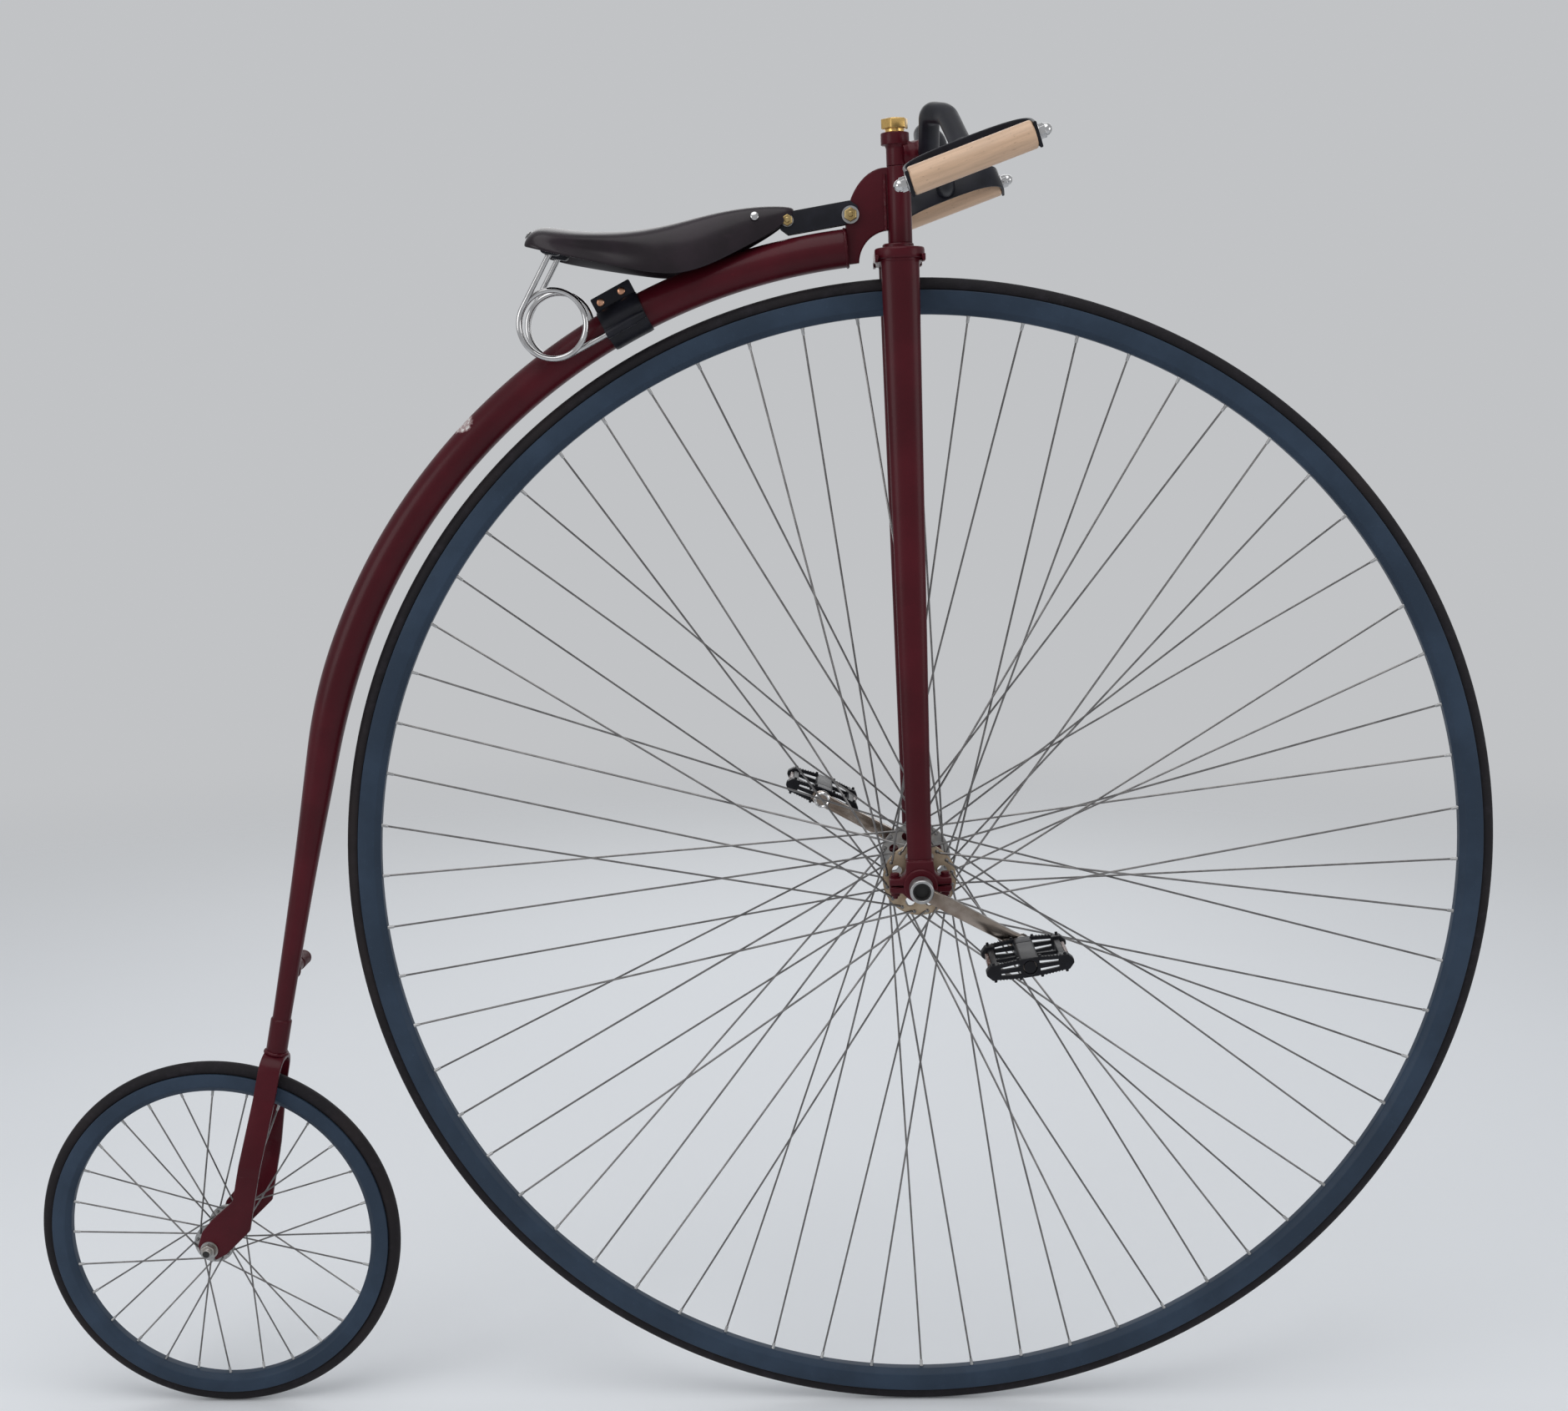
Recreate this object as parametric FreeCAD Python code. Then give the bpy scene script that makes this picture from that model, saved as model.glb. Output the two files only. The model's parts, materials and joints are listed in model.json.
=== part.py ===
"""A penny farthing bicycle with a 52 inch direct-drive front wheel and solid tyres.

Every sub-part is one STEP file in parts/. The solids are built about the ground point under the
front axle: +X is forward, +Y is to the rider's left and +Z is up. They are then moved so that the
rider's place on the saddle is the origin. All sizes are in millimetres and degrees.
"""

import FreeCAD
import Part

import math
import os

V = FreeCAD.Vector

# ---------------------------------------------------------------- driving sizes
FRONT_RADIUS = 660.4  # over the front tyre, 52 inches across
REAR_RADIUS = 216.0  # over the rear tyre, 17 inches across
WHEELBASE = 838.0  # front axle to rear axle, along the ground
RAKE = 1.75  # lean of the steering axis, top rearward

TYRE_WIDTH = 18.0  # solid rubber section
TYRE_SEAT = 8.5  # depth of the tyre's foot inside the rim
RIM_WALL = 2.4
RIM_DEPTH = 30.0  # lip to inner face
RIM_CHAMFER = 6.5  # bevel on the rim's inner corners
SPOKE_END_GAP = 0.2
TREAD_FLATS = 6  # flats that make the tyre's round tread

FRONT_SPOKES = 64
FRONT_SPOKE_DIAMETER = 2.9
FRONT_LACING = 60.0  # angle between a spoke's hub hole and its rim hole
FRONT_SPOKE_START = 0.5  # angle of the first rim hole
FRONT_FLANGE_RADIUS = 41.5
FRONT_FLANGE_SPACING = 118.0  # between the flanges' mid-planes
FRONT_HUB_BARREL = 21.0  # radius
REAR_SPOKES = 28
REAR_SPOKE_DIAMETER = 2.2
REAR_LACING = 51.4
REAR_SPOKE_START = -0.4
REAR_FLANGE_RADIUS = 24.0
REAR_FLANGE_SPACING = 62.0
REAR_HUB_BARREL = 12.0
FLANGE_THICKNESS = 5.0
SPOKE_HOLE_INSET = 4.0  # hub hole circle inside the flange's edge
LIGHTENING_HOLES = 8
LIGHTENING_HOLE_RADIUS = 5.1
LIGHTENING_CIRCLE = 26.5

SPINDLE_RADIUS = 10.0
RUNNING = 0.05  # radial clearance of a turning fit
HEAD_RUNNING = 0.1  # radial clearance of the steerer in the neck
SEAT_GAP = 0.3  # between pieces that move against each other end to end
MOVING_GAP = 6.0  # beside a moving piece

HOUSING_WIDTH = 30.0
HOUSING_RADIUS = 19.0
HOUSING_EAR_REACH = 34.0  # from the axle to an ear's end
HOUSING_EAR_HEIGHT = 8.2  # above and below the split
HOUSING_EAR_INSET = 3.0  # of the ears from the round ends
HOUSING_EAR_ROOT = 22.5  # where the flare up to the blade begins
HOUSING_SPLIT = 1.6
FOOT_RISE = 8.0  # blade's foot above the round housing

CRANK_LENGTH = 125.0
CRANK_ANGLE = -28.4  # of the right crank, from straight ahead
CRANK_THICKNESS = 14.0
CRANK_BOSS_THICKNESS = 24.0
CRANK_BOSS_RADIUS = 13.0
CRANK_BOSS_BORE = 9.5
CRANK_ROOT_WIDTH = 20.0
CRANK_EYE_RADIUS = 12.0

PEDAL_LENGTH = 94.0
PEDAL_WIDTH = 92.0
PEDAL_HEIGHT = 24.0
PEDAL_RAIL = 14.0
PEDAL_BAR = 9.0
PEDAL_RIB_HEIGHT = 9.0
PEDAL_BARREL_RADIUS = 13.0
PEDAL_SPINDLE_RADIUS = 7.0
PEDAL_TILT_RIGHT = 9.0
PEDAL_TILT_LEFT = -22.0
REFLECTOR_LENGTH = 54.0
REFLECTOR_HEIGHT = 14.0
REFLECTOR_THICKNESS = 3.0

BACKBONE_DIAMETER = 41.0
BACKBONE_TAIL_DIAMETER = 22.5
BACKBONE_GAP = 15.4  # tyre to backbone
BACKBONE_TAPER_LEAD = 70.0  # length of the arc that tapers before the straight tail
BACKBONE_START = 78.0  # rearward of the front axle, where the neck plate begins
BACKBONE_SIDES = 16
BACKBONE_STEP = 3.0  # angle between its sections round the wheel
NECK_PLATE = 10.0
WEB_TOP_DROP = 5.0  # of the web's top below the neck tube's top
WEB_BACK_X = 34.0  # rearward of the axle, the top of that round
WEB_THROAT_X = 29.6  # rearward of the axle, the top of the hollow over the crown
WEB_THROAT_RISE = 12.6  # of that hollow's top above the neck tube's bottom
WEB_TOE = 64.1  # rearward of the axle, the web's lowest front corner
WEB_TOE_LIFT = 4.6  # of that corner above the backbone's underside
NECK_TUBE_RADIUS = 13.2
NECK_TUBE_DROP = 19.8  # its bottom below the backbone's crest
NECK_TUBE_LENGTH = 80.0
STEERER_RADIUS = 9.0

CROWN_LENGTH = 54.0
CROWN_HEIGHT = 14.0
CROWN_COLLAR_RADIUS = 17.0
CROWN_COLLAR_HEIGHT = 7.0
BLADE_TOP_WIDTH = 41.5
BLADE_TOP_THICKNESS = 24.0
BLADE_BOTTOM_WIDTH = 27.0
BLADE_SIDES = 16
BLADE_TOP_OFFSET = 46.0

HEAD_COLLAR_RADIUS = 15.4
HEAD_COLLAR_HEIGHT = 14.0
HEAD_STEM_HEIGHT = 22.0
PLUG_HEX = 26.5  # across the corners
PLUG_HEX_HEIGHT = 11.0
PLUG_NECK_RADIUS = 10.5
PLUG_NECK_HEIGHT = 7.0

BAR_RADIUS = 11.0
BAR_SIDES = 12
BAR_REACH = 35.0  # steering axis to the bar's middle
LUG_RISE = 13.0  # of the bar above the neck tube's top
LUG_RADIUS = 8.5
GRIP_RADIUS = 15.5
GRIP_LENGTH = 138.0
GRIP_SPREAD = 221.0  # centre plane to the grip's axis
GRIP_RISE = 19.7
GRIP_CENTRE_X = 43.0
GRIP_CENTRE_RISE = 40.8  # over the backbone's crest
BOW_DEPTH = 46.0
BOW_BEND = 24.0
BOW_LIFT = 14.0
BOW_WIDTH = 27.0
BOW_THICKNESS = 3.2
ROD_RADIUS = 4.0
CAP_NUT_RADIUS = 7.0
CAP_NUT_LENGTH = 14.0

REAR_BLADE_SPACING = 100.0
REAR_BLADE_THICKNESS = 6.0
REAR_BLADE_WIDTH = 25.0
REAR_CROWN_CLEARANCE = 19.5
REAR_CROWN_ANGLE = 19.5
REAR_CROWN_DROP = 34.0
REAR_CROWN_BEND = 16.0
REAR_SLEEVE_RADIUS = 15.2
REAR_SLEEVE_LENGTH = 46.0
REAR_ELBOW_AHEAD = 49.4  # of the blade's front corner, from the axle
REAR_ELBOW_RISE = 22.5
REAR_KNEE_AHEAD = 30.0  # of its rear corner
REAR_KNEE_RISE = 62.0
DROPOUT_RADIUS = 14.0
DROPOUT_TONGUE = 11.0  # of the dropout's prongs below the axle
REAR_AXLE_RADIUS = 5.0
REAR_NUT_RADIUS = 8.5
REAR_WASHER_RADIUS = 10.0

STEP_HEIGHT = 540.0
STEP_RADIUS = 9.0
STEP_LENGTH = 62.0

RIDER_X = 340.0  # rearward of the front axle
RIDER_DROP = 6.7  # of the leather there, below the backbone's crest
SADDLE_LENGTH = 295.0
SADDLE_REAR_X = 428.0
SADDLE_THICKNESS = 4.5
CANTLE_LENGTH = 34.0
CANTLE_SPAN = 96.0
CANTLE_THICKNESS = 2.5
CANTLE_DROP = 17.9  # below the backbone's crest
LEG_TOP_X = -401.0
LEG_TOP_DROP = 35.2  # below the backbone's crest
WIRE_RADIUS = 3.0
WIRE_SIDES = 8
COIL_STEP = 18.0  # angle between the sections of the coil
COIL_RADIUS = 36.5
COIL_TURN_GAP = 0.9
COIL_SETBACK = 46.0
CLAMP_ANGLE = 117.4
CLAMP_LENGTH = 48.0
CLAMP_WALL = 2.5
CLAMP_EAR = 13.5
GROOVE_DROP = 5.0
NOSE_BOLT_X = -140.0
NOSE_BOLT_RISE = 3.6  # over the backbone's crest
NECK_BOLT_X = -72.4
NECK_BOLT_RISE = 6.4
LINK_WIDTH = 24.0
LINK_SLOPE = 9.3
LINK_THICKNESS = 3.0
LINK_BOLT_RADIUS = 4.0


# ---------------------------------------------------------------- places worked out from the sizes
FRONT_AXLE = V(0, 0, FRONT_RADIUS)
REAR_AXLE = V(-WHEELBASE, 0, REAR_RADIUS)
BACKBONE_ARC = FRONT_RADIUS + BACKBONE_GAP + BACKBONE_DIAMETER / 2
CREST = FRONT_RADIUS + BACKBONE_ARC + BACKBONE_DIAMETER / 2  # height of the backbone's highest line
NECK_TUBE_BOTTOM = CREST - FRONT_RADIUS - NECK_TUBE_DROP  # above the axle, as the next two are
NECK_TUBE_TOP = NECK_TUBE_BOTTOM + NECK_TUBE_LENGTH
LUG_HEIGHT = NECK_TUBE_TOP + LUG_RISE
CANTLE_Z = CREST - CANTLE_DROP

FLANGE_Y = FRONT_FLANGE_SPACING / 2
HOUSING_INNER = FLANGE_Y + FLANGE_THICKNESS / 2 + MOVING_GAP
HOUSING_OUTER = HOUSING_INNER + HOUSING_WIDTH
HOUSING_MIDDLE = (HOUSING_INNER + HOUSING_OUTER) / 2
CRANK_INNER = HOUSING_OUTER + MOVING_GAP
CRANK_OUTER = CRANK_INNER + CRANK_BOSS_THICKNESS
PEDAL_INNER = CRANK_OUTER + MOVING_GAP
PEDAL_MIDDLE = PEDAL_INNER + PEDAL_WIDTH / 2
PEDAL_OUTER = PEDAL_INNER + PEDAL_WIDTH


def direction(angle):
    """Unit vector in the XZ plane, measured up from straight ahead."""
    return V(math.cos(math.radians(angle)), 0, math.sin(math.radians(angle)))


def rod(radius, start, end):
    return Part.makeCylinder(radius, (end - start).Length, start, end - start)


def fused(shapes):
    whole = shapes[0].multiFuse(shapes[1:]) if len(shapes) > 1 else shapes[0]
    return whole.removeSplitter()


def across(radius, centre, y_low, y_high):
    """Round bar parallel to Y."""
    return rod(radius, V(centre.x, y_low, centre.z), V(centre.x, y_high, centre.z))


def plate(points, y_low, y_high):
    """Flat plate with an XZ outline, between two Y planes."""
    corners = [V(p.x, y_low, p.z) for p in points]
    face = Part.Face(Part.makePolygon(corners + corners[:1]))
    return face.extrude(V(0, y_high - y_low, 0))


def quarter(centre, wide, high, start, count=8):
    """Points of a quarter of an ellipse in the XZ plane, from start degrees on, anticlockwise."""
    angles = [math.radians(start + 90.0 * k / count) for k in range(count + 1)]
    return [centre + V(wide * math.cos(a), 0, high * math.sin(a)) for a in angles]


def many_sided(centre, side, over, radius, sides):
    """Corners of a level-sided polygon whose corners lie on a circle."""
    angles = [2 * math.pi * (k + 0.5) / sides for k in range(sides)]
    return [centre + side * (radius * math.cos(a)) + over * (radius * math.sin(a)) for a in angles]


def skinned(rings):
    """Solid of flat faces between one ring of corners and the next, with flat ends."""
    faces = [flat(rings[0]), flat(rings[-1])]
    for near, far in zip(rings, rings[1:]):
        for a, b, c, d in zip(near, near[1:] + near[:1], far[1:] + far[:1], far):
            level = (b - a).cross(d - a).normalize()
            if abs(level.dot(c - a)) < 1e-6:
                faces.append(flat([a, b, c, d]))
            else:
                faces += [flat([a, b, c]), flat([a, c, d])]
    shell = Part.Shell(faces)
    shell.sewShape()
    solid = Part.Solid(shell)
    if solid.Volume < 0:
        solid.reverse()
    return solid


def flat(corners):
    return Part.Face(Part.makePolygon(corners + corners[:1]))


def many_sided_tube(points, radius, sides, side):
    """Tube of flat sides along a line of points. side is across its first run."""
    rings = []
    last = len(points) - 1
    for i, point in enumerate(points):
        way = (points[min(i + 1, last)] - points[max(i - 1, 0)]).normalize()
        side = (side - way * side.dot(way)).normalize()
        rings.append(many_sided(point, side, way.cross(side), radius, sides))
    return skinned(rings)


def turned(profile, centre):
    """Ring revolved about a Y axis through centre. profile lists (radius, y) corners."""
    points = [V(centre.x, y, centre.z + r) for r, y in profile]
    face = Part.Face(Part.makePolygon(points + points[:1]))
    return face.revolve(centre, V(0, 1, 0), 360)


def mirrored(shape):
    """The same piece on the other side of the bicycle."""
    return shape.mirror(V(0, 0, 0), V(0, 1, 0))


def raked(shape):
    """Leans a piece built upright about the front axle to the steering axis."""
    leaned = shape.copy()
    leaned.rotate(FRONT_AXLE, V(0, 1, 0), -RAKE)
    return leaned


def on_axis(height, x=0.0, y=0.0):
    """Point of the upright steering assembly, at a height above the front axle."""
    return FRONT_AXLE + V(x, y, height)


def prism_hex(corner_radius, start, axis, length):
    """Hexagonal prism along axis."""
    circle = Part.Circle(start, axis, corner_radius)
    corners = [circle.value(math.radians(60 * k)) for k in range(6)]
    face = Part.Face(Part.makePolygon(corners + corners[:1]))
    return face.extrude(V(axis).normalize() * length)


# ---------------------------------------------------------------- wheels
def tyre(radius, centre):
    """Solid rubber ring: round tread above the rim, square foot inside it."""
    half = TYRE_WIDTH / 2
    shoulder = radius - half
    foot = shoulder - TYRE_SEAT
    angles = [math.pi * k / TREAD_FLATS for k in range(TREAD_FLATS + 1)]
    tread = [(shoulder + half * math.sin(a), half * math.cos(a)) for a in angles]
    return turned(tread + [(foot, -half), (foot, half)], centre)


def rim(radius, centre):
    """Deep trough with bevelled inner corners. The tyre's foot fills the trough."""
    half = TYRE_WIDTH / 2
    lip = radius - half
    floor = lip - TYRE_SEAT
    inner = lip - RIM_DEPTH
    outside = half + RIM_WALL
    profile = [
        (lip, half),
        (lip, outside),
        (inner + RIM_CHAMFER, outside),
        (inner, outside - RIM_CHAMFER),
        (inner, -outside + RIM_CHAMFER),
        (inner + RIM_CHAMFER, -outside),
        (lip, -outside),
        (lip, -half),
        (floor, -half),
        (floor, half),
    ]
    return turned(profile, centre)


def spokes(count, diameter, lacing, first, wheel_radius, flange_radius, flange_spacing, centre):
    """Straight spokes from the flanges' edges to the rim's inner face, leading and trailing by turns."""
    hole_circle = flange_radius - SPOKE_HOLE_INSET
    rim_inner = wheel_radius - TYRE_WIDTH / 2 - RIM_DEPTH
    solids = []
    for k in range(count):
        side = -1 if k % 2 else 1
        lead = -1 if k % 4 < 2 else 1
        rim_angle = first + 360.0 * k / count
        hub_end = centre + direction(rim_angle + lead * lacing) * hole_circle
        hub_end += V(0, side * flange_spacing / 2, 0)
        rim_end = centre + direction(rim_angle) * (rim_inner - SPOKE_END_GAP)
        along = (hub_end - rim_end).normalize()
        flat = V(along.x, 0, along.z)
        start = V(rim_end.x - centre.x, 0, rim_end.z - centre.z)
        reach = line_to_circle(start, flat, flange_radius + SPOKE_END_GAP + diameter / 2)
        solids.append(six_sided(diameter, rim_end, rim_end + along * reach))
    return Part.makeCompound(solids)


def line_to_circle(start, step, radius):
    """How many steps from start the line first meets a circle about the origin, in the XZ plane."""
    a = step.dot(step)
    b = 2 * start.dot(step)
    c = start.dot(start) - radius * radius
    return (-b - math.sqrt(b * b - 4 * a * c)) / (2 * a)


def six_sided(diameter, start, end):
    return prism_hex(diameter / 2, start, end - start, (end - start).Length)


def flanged_hub(flange_radius, spacing, barrel, bore, centre):
    """Two flanges with lightening holes on a barrel."""
    half = spacing / 2 + FLANGE_THICKNESS / 2
    inner = spacing / 2 - FLANGE_THICKNESS / 2
    profile = [
        (bore, -half),
        (flange_radius, -half),
        (flange_radius, -inner),
        (barrel, -inner),
        (barrel, inner),
        (flange_radius, inner),
        (flange_radius, half),
        (bore, half),
    ]
    return turned(profile, centre)


def front_tyre():
    return tyre(FRONT_RADIUS, FRONT_AXLE)


def front_rim():
    return rim(FRONT_RADIUS, FRONT_AXLE)


def front_spokes():
    return spokes(
        FRONT_SPOKES, FRONT_SPOKE_DIAMETER, FRONT_LACING, FRONT_SPOKE_START, FRONT_RADIUS,
        FRONT_FLANGE_RADIUS, FRONT_FLANGE_SPACING, FRONT_AXLE,
    )


def front_hub():
    hub = flanged_hub(
        FRONT_FLANGE_RADIUS, FRONT_FLANGE_SPACING, FRONT_HUB_BARREL, SPINDLE_RADIUS, FRONT_AXLE
    )
    holes = []
    for k in range(LIGHTENING_HOLES):
        centre = FRONT_AXLE + direction(360.0 * (k + 0.5) / LIGHTENING_HOLES) * LIGHTENING_CIRCLE
        outline = many_sided(centre, V(1, 0, 0), V(0, 0, 1), LIGHTENING_HOLE_RADIUS, 8)
        for middle in (-FLANGE_Y, FLANGE_Y):
            holes.append(plate(outline, middle - FLANGE_THICKNESS, middle + FLANGE_THICKNESS))
    return hub.cut(Part.makeCompound(holes))


def front_spindle():
    return across(SPINDLE_RADIUS, FRONT_AXLE, -CRANK_INNER, CRANK_INNER)


def rear_tyre():
    return tyre(REAR_RADIUS, REAR_AXLE)


def rear_rim():
    return rim(REAR_RADIUS, REAR_AXLE)


def rear_spokes():
    return spokes(
        REAR_SPOKES, REAR_SPOKE_DIAMETER, REAR_LACING, REAR_SPOKE_START, REAR_RADIUS,
        REAR_FLANGE_RADIUS, REAR_FLANGE_SPACING, REAR_AXLE,
    )


def rear_hub():
    return flanged_hub(
        REAR_FLANGE_RADIUS, REAR_FLANGE_SPACING, REAR_HUB_BARREL,
        REAR_AXLE_RADIUS + RUNNING, REAR_AXLE,
    )


# ---------------------------------------------------------------- cranks and pedals
def crank(side, angle):
    """Tapered arm with a hollow boss at the axle and an eye at the pedal. side is -1 on the right."""
    along = direction(angle)
    over = direction(angle + 90)
    eye = FRONT_AXLE + along * CRANK_LENGTH
    root = over * (CRANK_ROOT_WIDTH / 2)
    tip = over * (CRANK_EYE_RADIUS * 0.72)
    lows = (CRANK_INNER, CRANK_OUTER)
    low, high = sorted(side * y for y in lows)
    arm_low, arm_high = sorted(side * y for y in (CRANK_OUTER - CRANK_THICKNESS, CRANK_OUTER))
    arm = plate([FRONT_AXLE + root, FRONT_AXLE - root, eye - tip, eye + tip], arm_low, arm_high)
    boss = across(CRANK_BOSS_RADIUS, FRONT_AXLE, low, high)
    end = across(CRANK_EYE_RADIUS, eye, arm_low, arm_high)
    whole = fused([boss, arm, end])
    socket = CRANK_BOSS_THICKNESS / 2
    recess_low, recess_high = sorted(side * y for y in (CRANK_OUTER - socket, CRANK_OUTER))
    whole = whole.cut(across(CRANK_BOSS_BORE, FRONT_AXLE, recess_low, recess_high))
    return whole.cut(across(PEDAL_SPINDLE_RADIUS, eye, arm_low, arm_high))


def pedal_centre(angle):
    return FRONT_AXLE + direction(angle) * CRANK_LENGTH


def pedal_spindle(side, angle):
    ends = sorted((side * (CRANK_OUTER - CRANK_THICKNESS), side * (PEDAL_OUTER - 4)))
    return across(PEDAL_SPINDLE_RADIUS, pedal_centre(angle), ends[0], ends[1])


def pedal(side, angle, tilt):
    """Moulded platform: two rails, end bars, a rib and a barrel on the spindle."""
    middle = pedal_centre(angle) + V(0, side * PEDAL_MIDDLE, 0)
    half_length = PEDAL_LENGTH / 2
    half_width = PEDAL_WIDTH / 2
    pieces = []
    for x in (-half_length, half_length - PEDAL_RAIL):
        pieces.append(box(x, -half_width, -PEDAL_HEIGHT / 2, PEDAL_RAIL, PEDAL_WIDTH, PEDAL_HEIGHT))
    for y in (-half_width, -PEDAL_BAR / 2, half_width - PEDAL_BAR):
        pieces.append(box(-half_length, y, -PEDAL_RIB_HEIGHT / 2, PEDAL_LENGTH, PEDAL_BAR, PEDAL_RIB_HEIGHT))
    barrel = rod(PEDAL_BARREL_RADIUS, V(0, -half_width, 0), V(0, half_width, 0))
    whole = fused(pieces + [barrel])
    whole = whole.cut(rod(PEDAL_SPINDLE_RADIUS + RUNNING, V(0, -half_width, 0), V(0, half_width, 0)))
    return placed(whole, middle, tilt)


def pedal_reflectors(side, angle, tilt):
    middle = pedal_centre(angle) + V(0, side * PEDAL_MIDDLE, 0)
    pieces = []
    for x in (-PEDAL_LENGTH / 2 - REFLECTOR_THICKNESS, PEDAL_LENGTH / 2):
        pieces.append(
            box(x, -REFLECTOR_LENGTH / 2, -REFLECTOR_HEIGHT / 2,
                REFLECTOR_THICKNESS, REFLECTOR_LENGTH, REFLECTOR_HEIGHT)
        )
    return placed(Part.makeCompound(pieces), middle, tilt)


def box(x, y, z, dx, dy, dz):
    return Part.makeBox(dx, dy, dz, V(x, y, z))


def placed(shape, centre, tilt):
    """Turns a piece built at the origin about its own Y axis, nose up, and moves it to centre."""
    moved = shape.copy()
    moved.rotate(V(0, 0, 0), V(0, 1, 0), -tilt)
    moved.translate(centre)
    return moved


# ---------------------------------------------------------------- fork and steering head
def blade_places():
    """Bottom and top centres of the left fork blade, upright."""
    bottom = on_axis(HOUSING_RADIUS + FOOT_RISE, 0, HOUSING_MIDDLE)
    top = on_axis(NECK_TUBE_BOTTOM - SEAT_GAP - CROWN_COLLAR_HEIGHT - CROWN_HEIGHT, 0, BLADE_TOP_OFFSET)
    return bottom, top


def oval(centre, width):
    """Corners of an oval in a level plane, longer fore and aft by the crown's proportion."""
    slim = BLADE_TOP_THICKNESS / BLADE_TOP_WIDTH
    return many_sided(centre, V(1, 0, 0), V(0, slim, 0), width / 2, BLADE_SIDES)


def fork_blade():
    bottom, top = blade_places()
    return raked(skinned([oval(bottom, BLADE_BOTTOM_WIDTH), oval(top, BLADE_TOP_WIDTH)]))


def fork_crown():
    """Oval cap over both blades, with a collar and the steerer that the neck turns on."""
    top = blade_places()[1]
    half_span = BLADE_TOP_OFFSET + BLADE_TOP_THICKNESS / 2 + 3 - CROWN_LENGTH / 2
    low = top.z
    slab = box(-CROWN_LENGTH / 2, -half_span, low, CROWN_LENGTH, 2 * half_span, CROWN_HEIGHT)
    ends = [
        rod(CROWN_LENGTH / 2, V(0, y, low), V(0, y, low + CROWN_HEIGHT)) for y in (-half_span, half_span)
    ]
    crest = V(0, 0, low + CROWN_HEIGHT)
    collar = rod(CROWN_COLLAR_RADIUS, crest, crest + V(0, 0, CROWN_COLLAR_HEIGHT))
    steerer = rod(STEERER_RADIUS, crest, on_axis(NECK_TUBE_TOP + SEAT_GAP + HEAD_STEM_HEIGHT))
    return raked(fused([slab] + ends + [collar, steerer]))


def ear_span():
    """Inboard and outboard faces of the ears, on the left."""
    return HOUSING_INNER + HOUSING_EAR_INSET, HOUSING_OUTER - HOUSING_EAR_INSET


def bearing_half(outline):
    """Half of the split bearing on the left: a half round and an outline, bored for the spindle."""
    side = 1 if outline[1].z > 0 else -1
    body = across(HOUSING_RADIUS, FRONT_AXLE, HOUSING_INNER, HOUSING_OUTER)
    inner, outer = ear_span()
    ears = plate([FRONT_AXLE + point for point in outline], inner, outer)
    far = 2 * HOUSING_EAR_REACH
    edge = side * HOUSING_SPLIT / 2
    other_side = [V(-far, 0, edge), V(far, 0, edge), V(far, 0, -side * far), V(-far, 0, -side * far)]
    whole = fused([body, ears])
    whole = whole.cut(plate([FRONT_AXLE + point for point in other_side], 0, HOUSING_OUTER + 1))
    whole = whole.cut(across(SPINDLE_RADIUS + RUNNING, FRONT_AXLE, HOUSING_INNER - 1, HOUSING_OUTER + 1))
    return raked(whole)


def bearing_upper():
    """Upper half, whose ears sweep up in a hollow flare to the blade's foot."""
    foot = BLADE_BOTTOM_WIDTH / 2 + 1.3
    top = HOUSING_RADIUS + FOOT_RISE
    wide, high = HOUSING_EAR_ROOT - foot, top - HOUSING_EAR_HEIGHT
    flare = quarter(V(HOUSING_EAR_ROOT, 0, top), wide, high, 180, 4)
    right = [V(HOUSING_EAR_REACH, 0, 0), V(HOUSING_EAR_REACH, 0, HOUSING_EAR_HEIGHT)] + flare[::-1]
    left = [V(-point.x, 0, point.z) for point in reversed(right)]
    return bearing_half(right + left)


def bearing_cap():
    """Lower half, with the ears' lower corners cut off."""
    cut = HOUSING_EAR_HEIGHT * 0.4
    low = -HOUSING_EAR_HEIGHT
    right = [V(HOUSING_EAR_REACH, 0, 0), V(HOUSING_EAR_REACH, 0, low + cut), V(HOUSING_EAR_REACH - cut, 0, low)]
    left = [V(-point.x, 0, point.z) for point in reversed(right)]
    return bearing_half(right + left)


def head_stem():
    """Turning head above the neck tube, clamped on the steerer, with the handlebar's lug in front."""
    low = NECK_TUBE_TOP + SEAT_GAP
    barrel = rod(NECK_TUBE_RADIUS, on_axis(low), on_axis(low + HEAD_STEM_HEIGHT))
    collar = rod(HEAD_COLLAR_RADIUS, on_axis(low + HEAD_STEM_HEIGHT), on_axis(low + HEAD_STEM_HEIGHT + HEAD_COLLAR_HEIGHT))
    whole = fused([barrel, collar])
    whole = whole.cut(rod(STEERER_RADIUS, on_axis(low - 1), on_axis(low + HEAD_STEM_HEIGHT)))
    whole = raked(whole)
    root = raked_point(on_axis(LUG_HEIGHT, STEERER_RADIUS + 1))
    lug = rod(LUG_RADIUS, root, V(bar_centre().x, 0, root.z))
    bar = across(BAR_RADIUS, bar_centre(), -LUG_RADIUS - 5, LUG_RADIUS + 5)
    return fused([whole, lug]).cut(bar)


def raked_point(point):
    """Where a point of the upright steering assembly lies on the leaned one."""
    step = FreeCAD.Rotation(V(0, 1, 0), -RAKE).multVec(point - FRONT_AXLE)
    return FRONT_AXLE + step


def bar_centre():
    """Middle of the handlebar, in front of the head."""
    return raked_point(on_axis(LUG_HEIGHT, BAR_REACH))


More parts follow.
